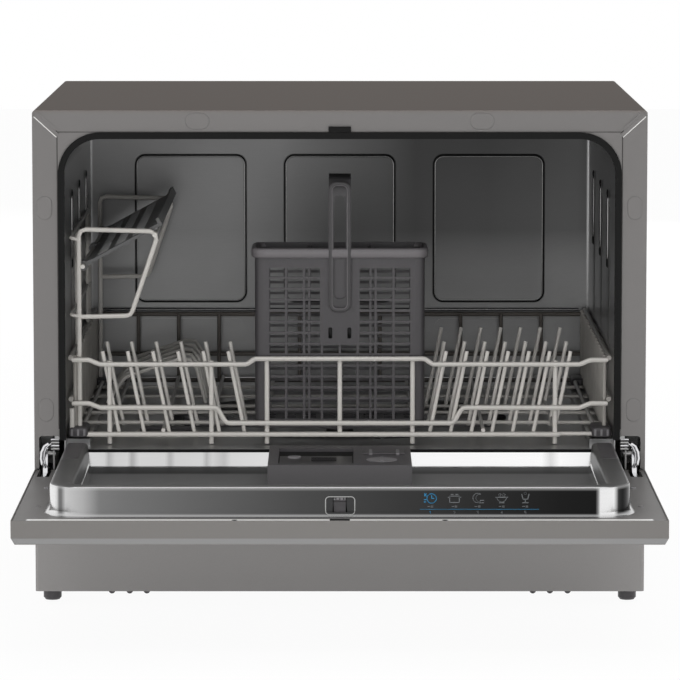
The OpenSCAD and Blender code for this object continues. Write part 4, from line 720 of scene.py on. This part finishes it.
FLOOR = bpy.data.materials.new("floor_white")
FLOOR.use_nodes = True
nt = FLOOR.node_tree
b = nt.nodes["Principled BSDF"]
b.inputs["Base Color"].default_value = (0.93, 0.93, 0.93, 1)
b.inputs["Roughness"].default_value = 0.9
b.inputs["Specular IOR Level"].default_value = 0.0
white = nt.nodes.new("ShaderNodeEmission")
white.inputs["Color"].default_value = (1, 1, 1, 1)
white.inputs["Strength"].default_value = 1.0
share = nt.nodes.new("ShaderNodeMath")
share.operation = "MULTIPLY"
share.inputs[1].default_value = FLOOR_WHITE
nt.links.new(is_seen(nt), share.inputs[0])
both = nt.nodes.new("ShaderNodeMixShader")
nt.links.new(share.outputs[0], both.inputs[0])
nt.links.new(b.outputs[0], both.inputs[1])
nt.links.new(white.outputs[0], both.inputs[2])
nt.links.new(both.outputs[0], nt.nodes["Material Output"].inputs["Surface"])

me = bpy.data.meshes.new("floor")
me.from_pydata([(-6, -8, 0), (6, -8, 0), (6, 7, 0), (-6, 7, 0)], [], [(0, 1, 2, 3)])
floor = bpy.data.objects.new("floor", me)
bpy.context.scene.collection.objects.link(floor)
me.materials.append(FLOOR)

world = bpy.data.worlds.new("studio")
bpy.context.scene.world = world
world.use_nodes = True
nt = world.node_tree
bg = nt.nodes["Background"]
co = nt.nodes.new("ShaderNodeTexCoord")
sep = nt.nodes.new("ShaderNodeSeparateXYZ")
nt.links.new(co.outputs["Generated"], sep.inputs[0])
sky = nt.nodes.new("ShaderNodeValToRGB")
for e, (at_z, v) in zip([sky.color_ramp.elements[0], sky.color_ramp.elements[1],
                         sky.color_ramp.elements.new(0.4)], ((0.0, 0.10), (1.0, 0.42), (0.4, 0.20))):
    e.position = at_z
    e.color = (v, v, v, 1)
nt.links.new(sep.outputs["Z"], sky.inputs["Fac"])
mix = nt.nodes.new("ShaderNodeMix")
mix.data_type = "RGBA"
nt.links.new(is_seen(nt), mix.inputs["Factor"])
nt.links.new(sky.outputs["Color"], mix.inputs["A"])
mix.inputs["B"].default_value = (1, 1, 1, 1)
nt.links.new(mix.outputs["Result"], bg.inputs["Color"])
bg.inputs["Strength"].default_value = 1.0


def area(name, loc, target, size, energy):
    """Softbox that lights the object without a mirror image of its own."""
    d = bpy.data.lights.new(name, "AREA")
    d.shape = "RECTANGLE"
    d.size, d.size_y = size
    d.energy = energy
    ob = bpy.data.objects.new(name, d)
    bpy.context.scene.collection.objects.link(ob)
    ob.location = loc
    ob.rotation_euler = (Vector(target) - Vector(loc)).to_track_quat("-Z", "Y").to_euler()
    ob.visible_glossy = False
    return ob


area("front_low", (-0.3, -3.6, 0.30), (0, 0, 0.15), (2.4, 0.5), 66)
area("floor_front", (0, -0.80, 0.70), (0, -1.08, 0), (1.3, 0.25), 4.5)
area("left", (-3.6, 0.3, 0.7), (0, 0.1, 0.2), (2.0, 1.2), 36)
area("right", (3.6, 0.3, 0.7), (0, 0.1, 0.2), (2.0, 1.2), 36)
area("rear", (0.9, 3.6, 0.9), (0, 0.2, 0.2), (2.4, 1.2), 70)

# Camera fitted to the photograph: millimetres, pixels and radians
FOCAL_PX, IMAGE_PX = 4459.13, 680
CAMERA_DISTANCE, CAMERA_HEIGHT = 3978.66, 699.85
CAMERA_DOWN = 0.1149066
cam = bpy.data.cameras.new("camera")
cam.sensor_width = 36
cam.lens = FOCAL_PX / IMAGE_PX * cam.sensor_width
cam.shift_x = 0.0003
camo = bpy.data.objects.new("camera", cam)
bpy.context.scene.collection.objects.link(camo)
camo.location = P(0, -CAMERA_DISTANCE, CAMERA_HEIGHT)
camo.rotation_euler = (math.pi / 2 - CAMERA_DOWN, 0, 0)
bpy.context.scene.camera = camo
bpy.context.scene.view_settings.view_transform = "Standard"
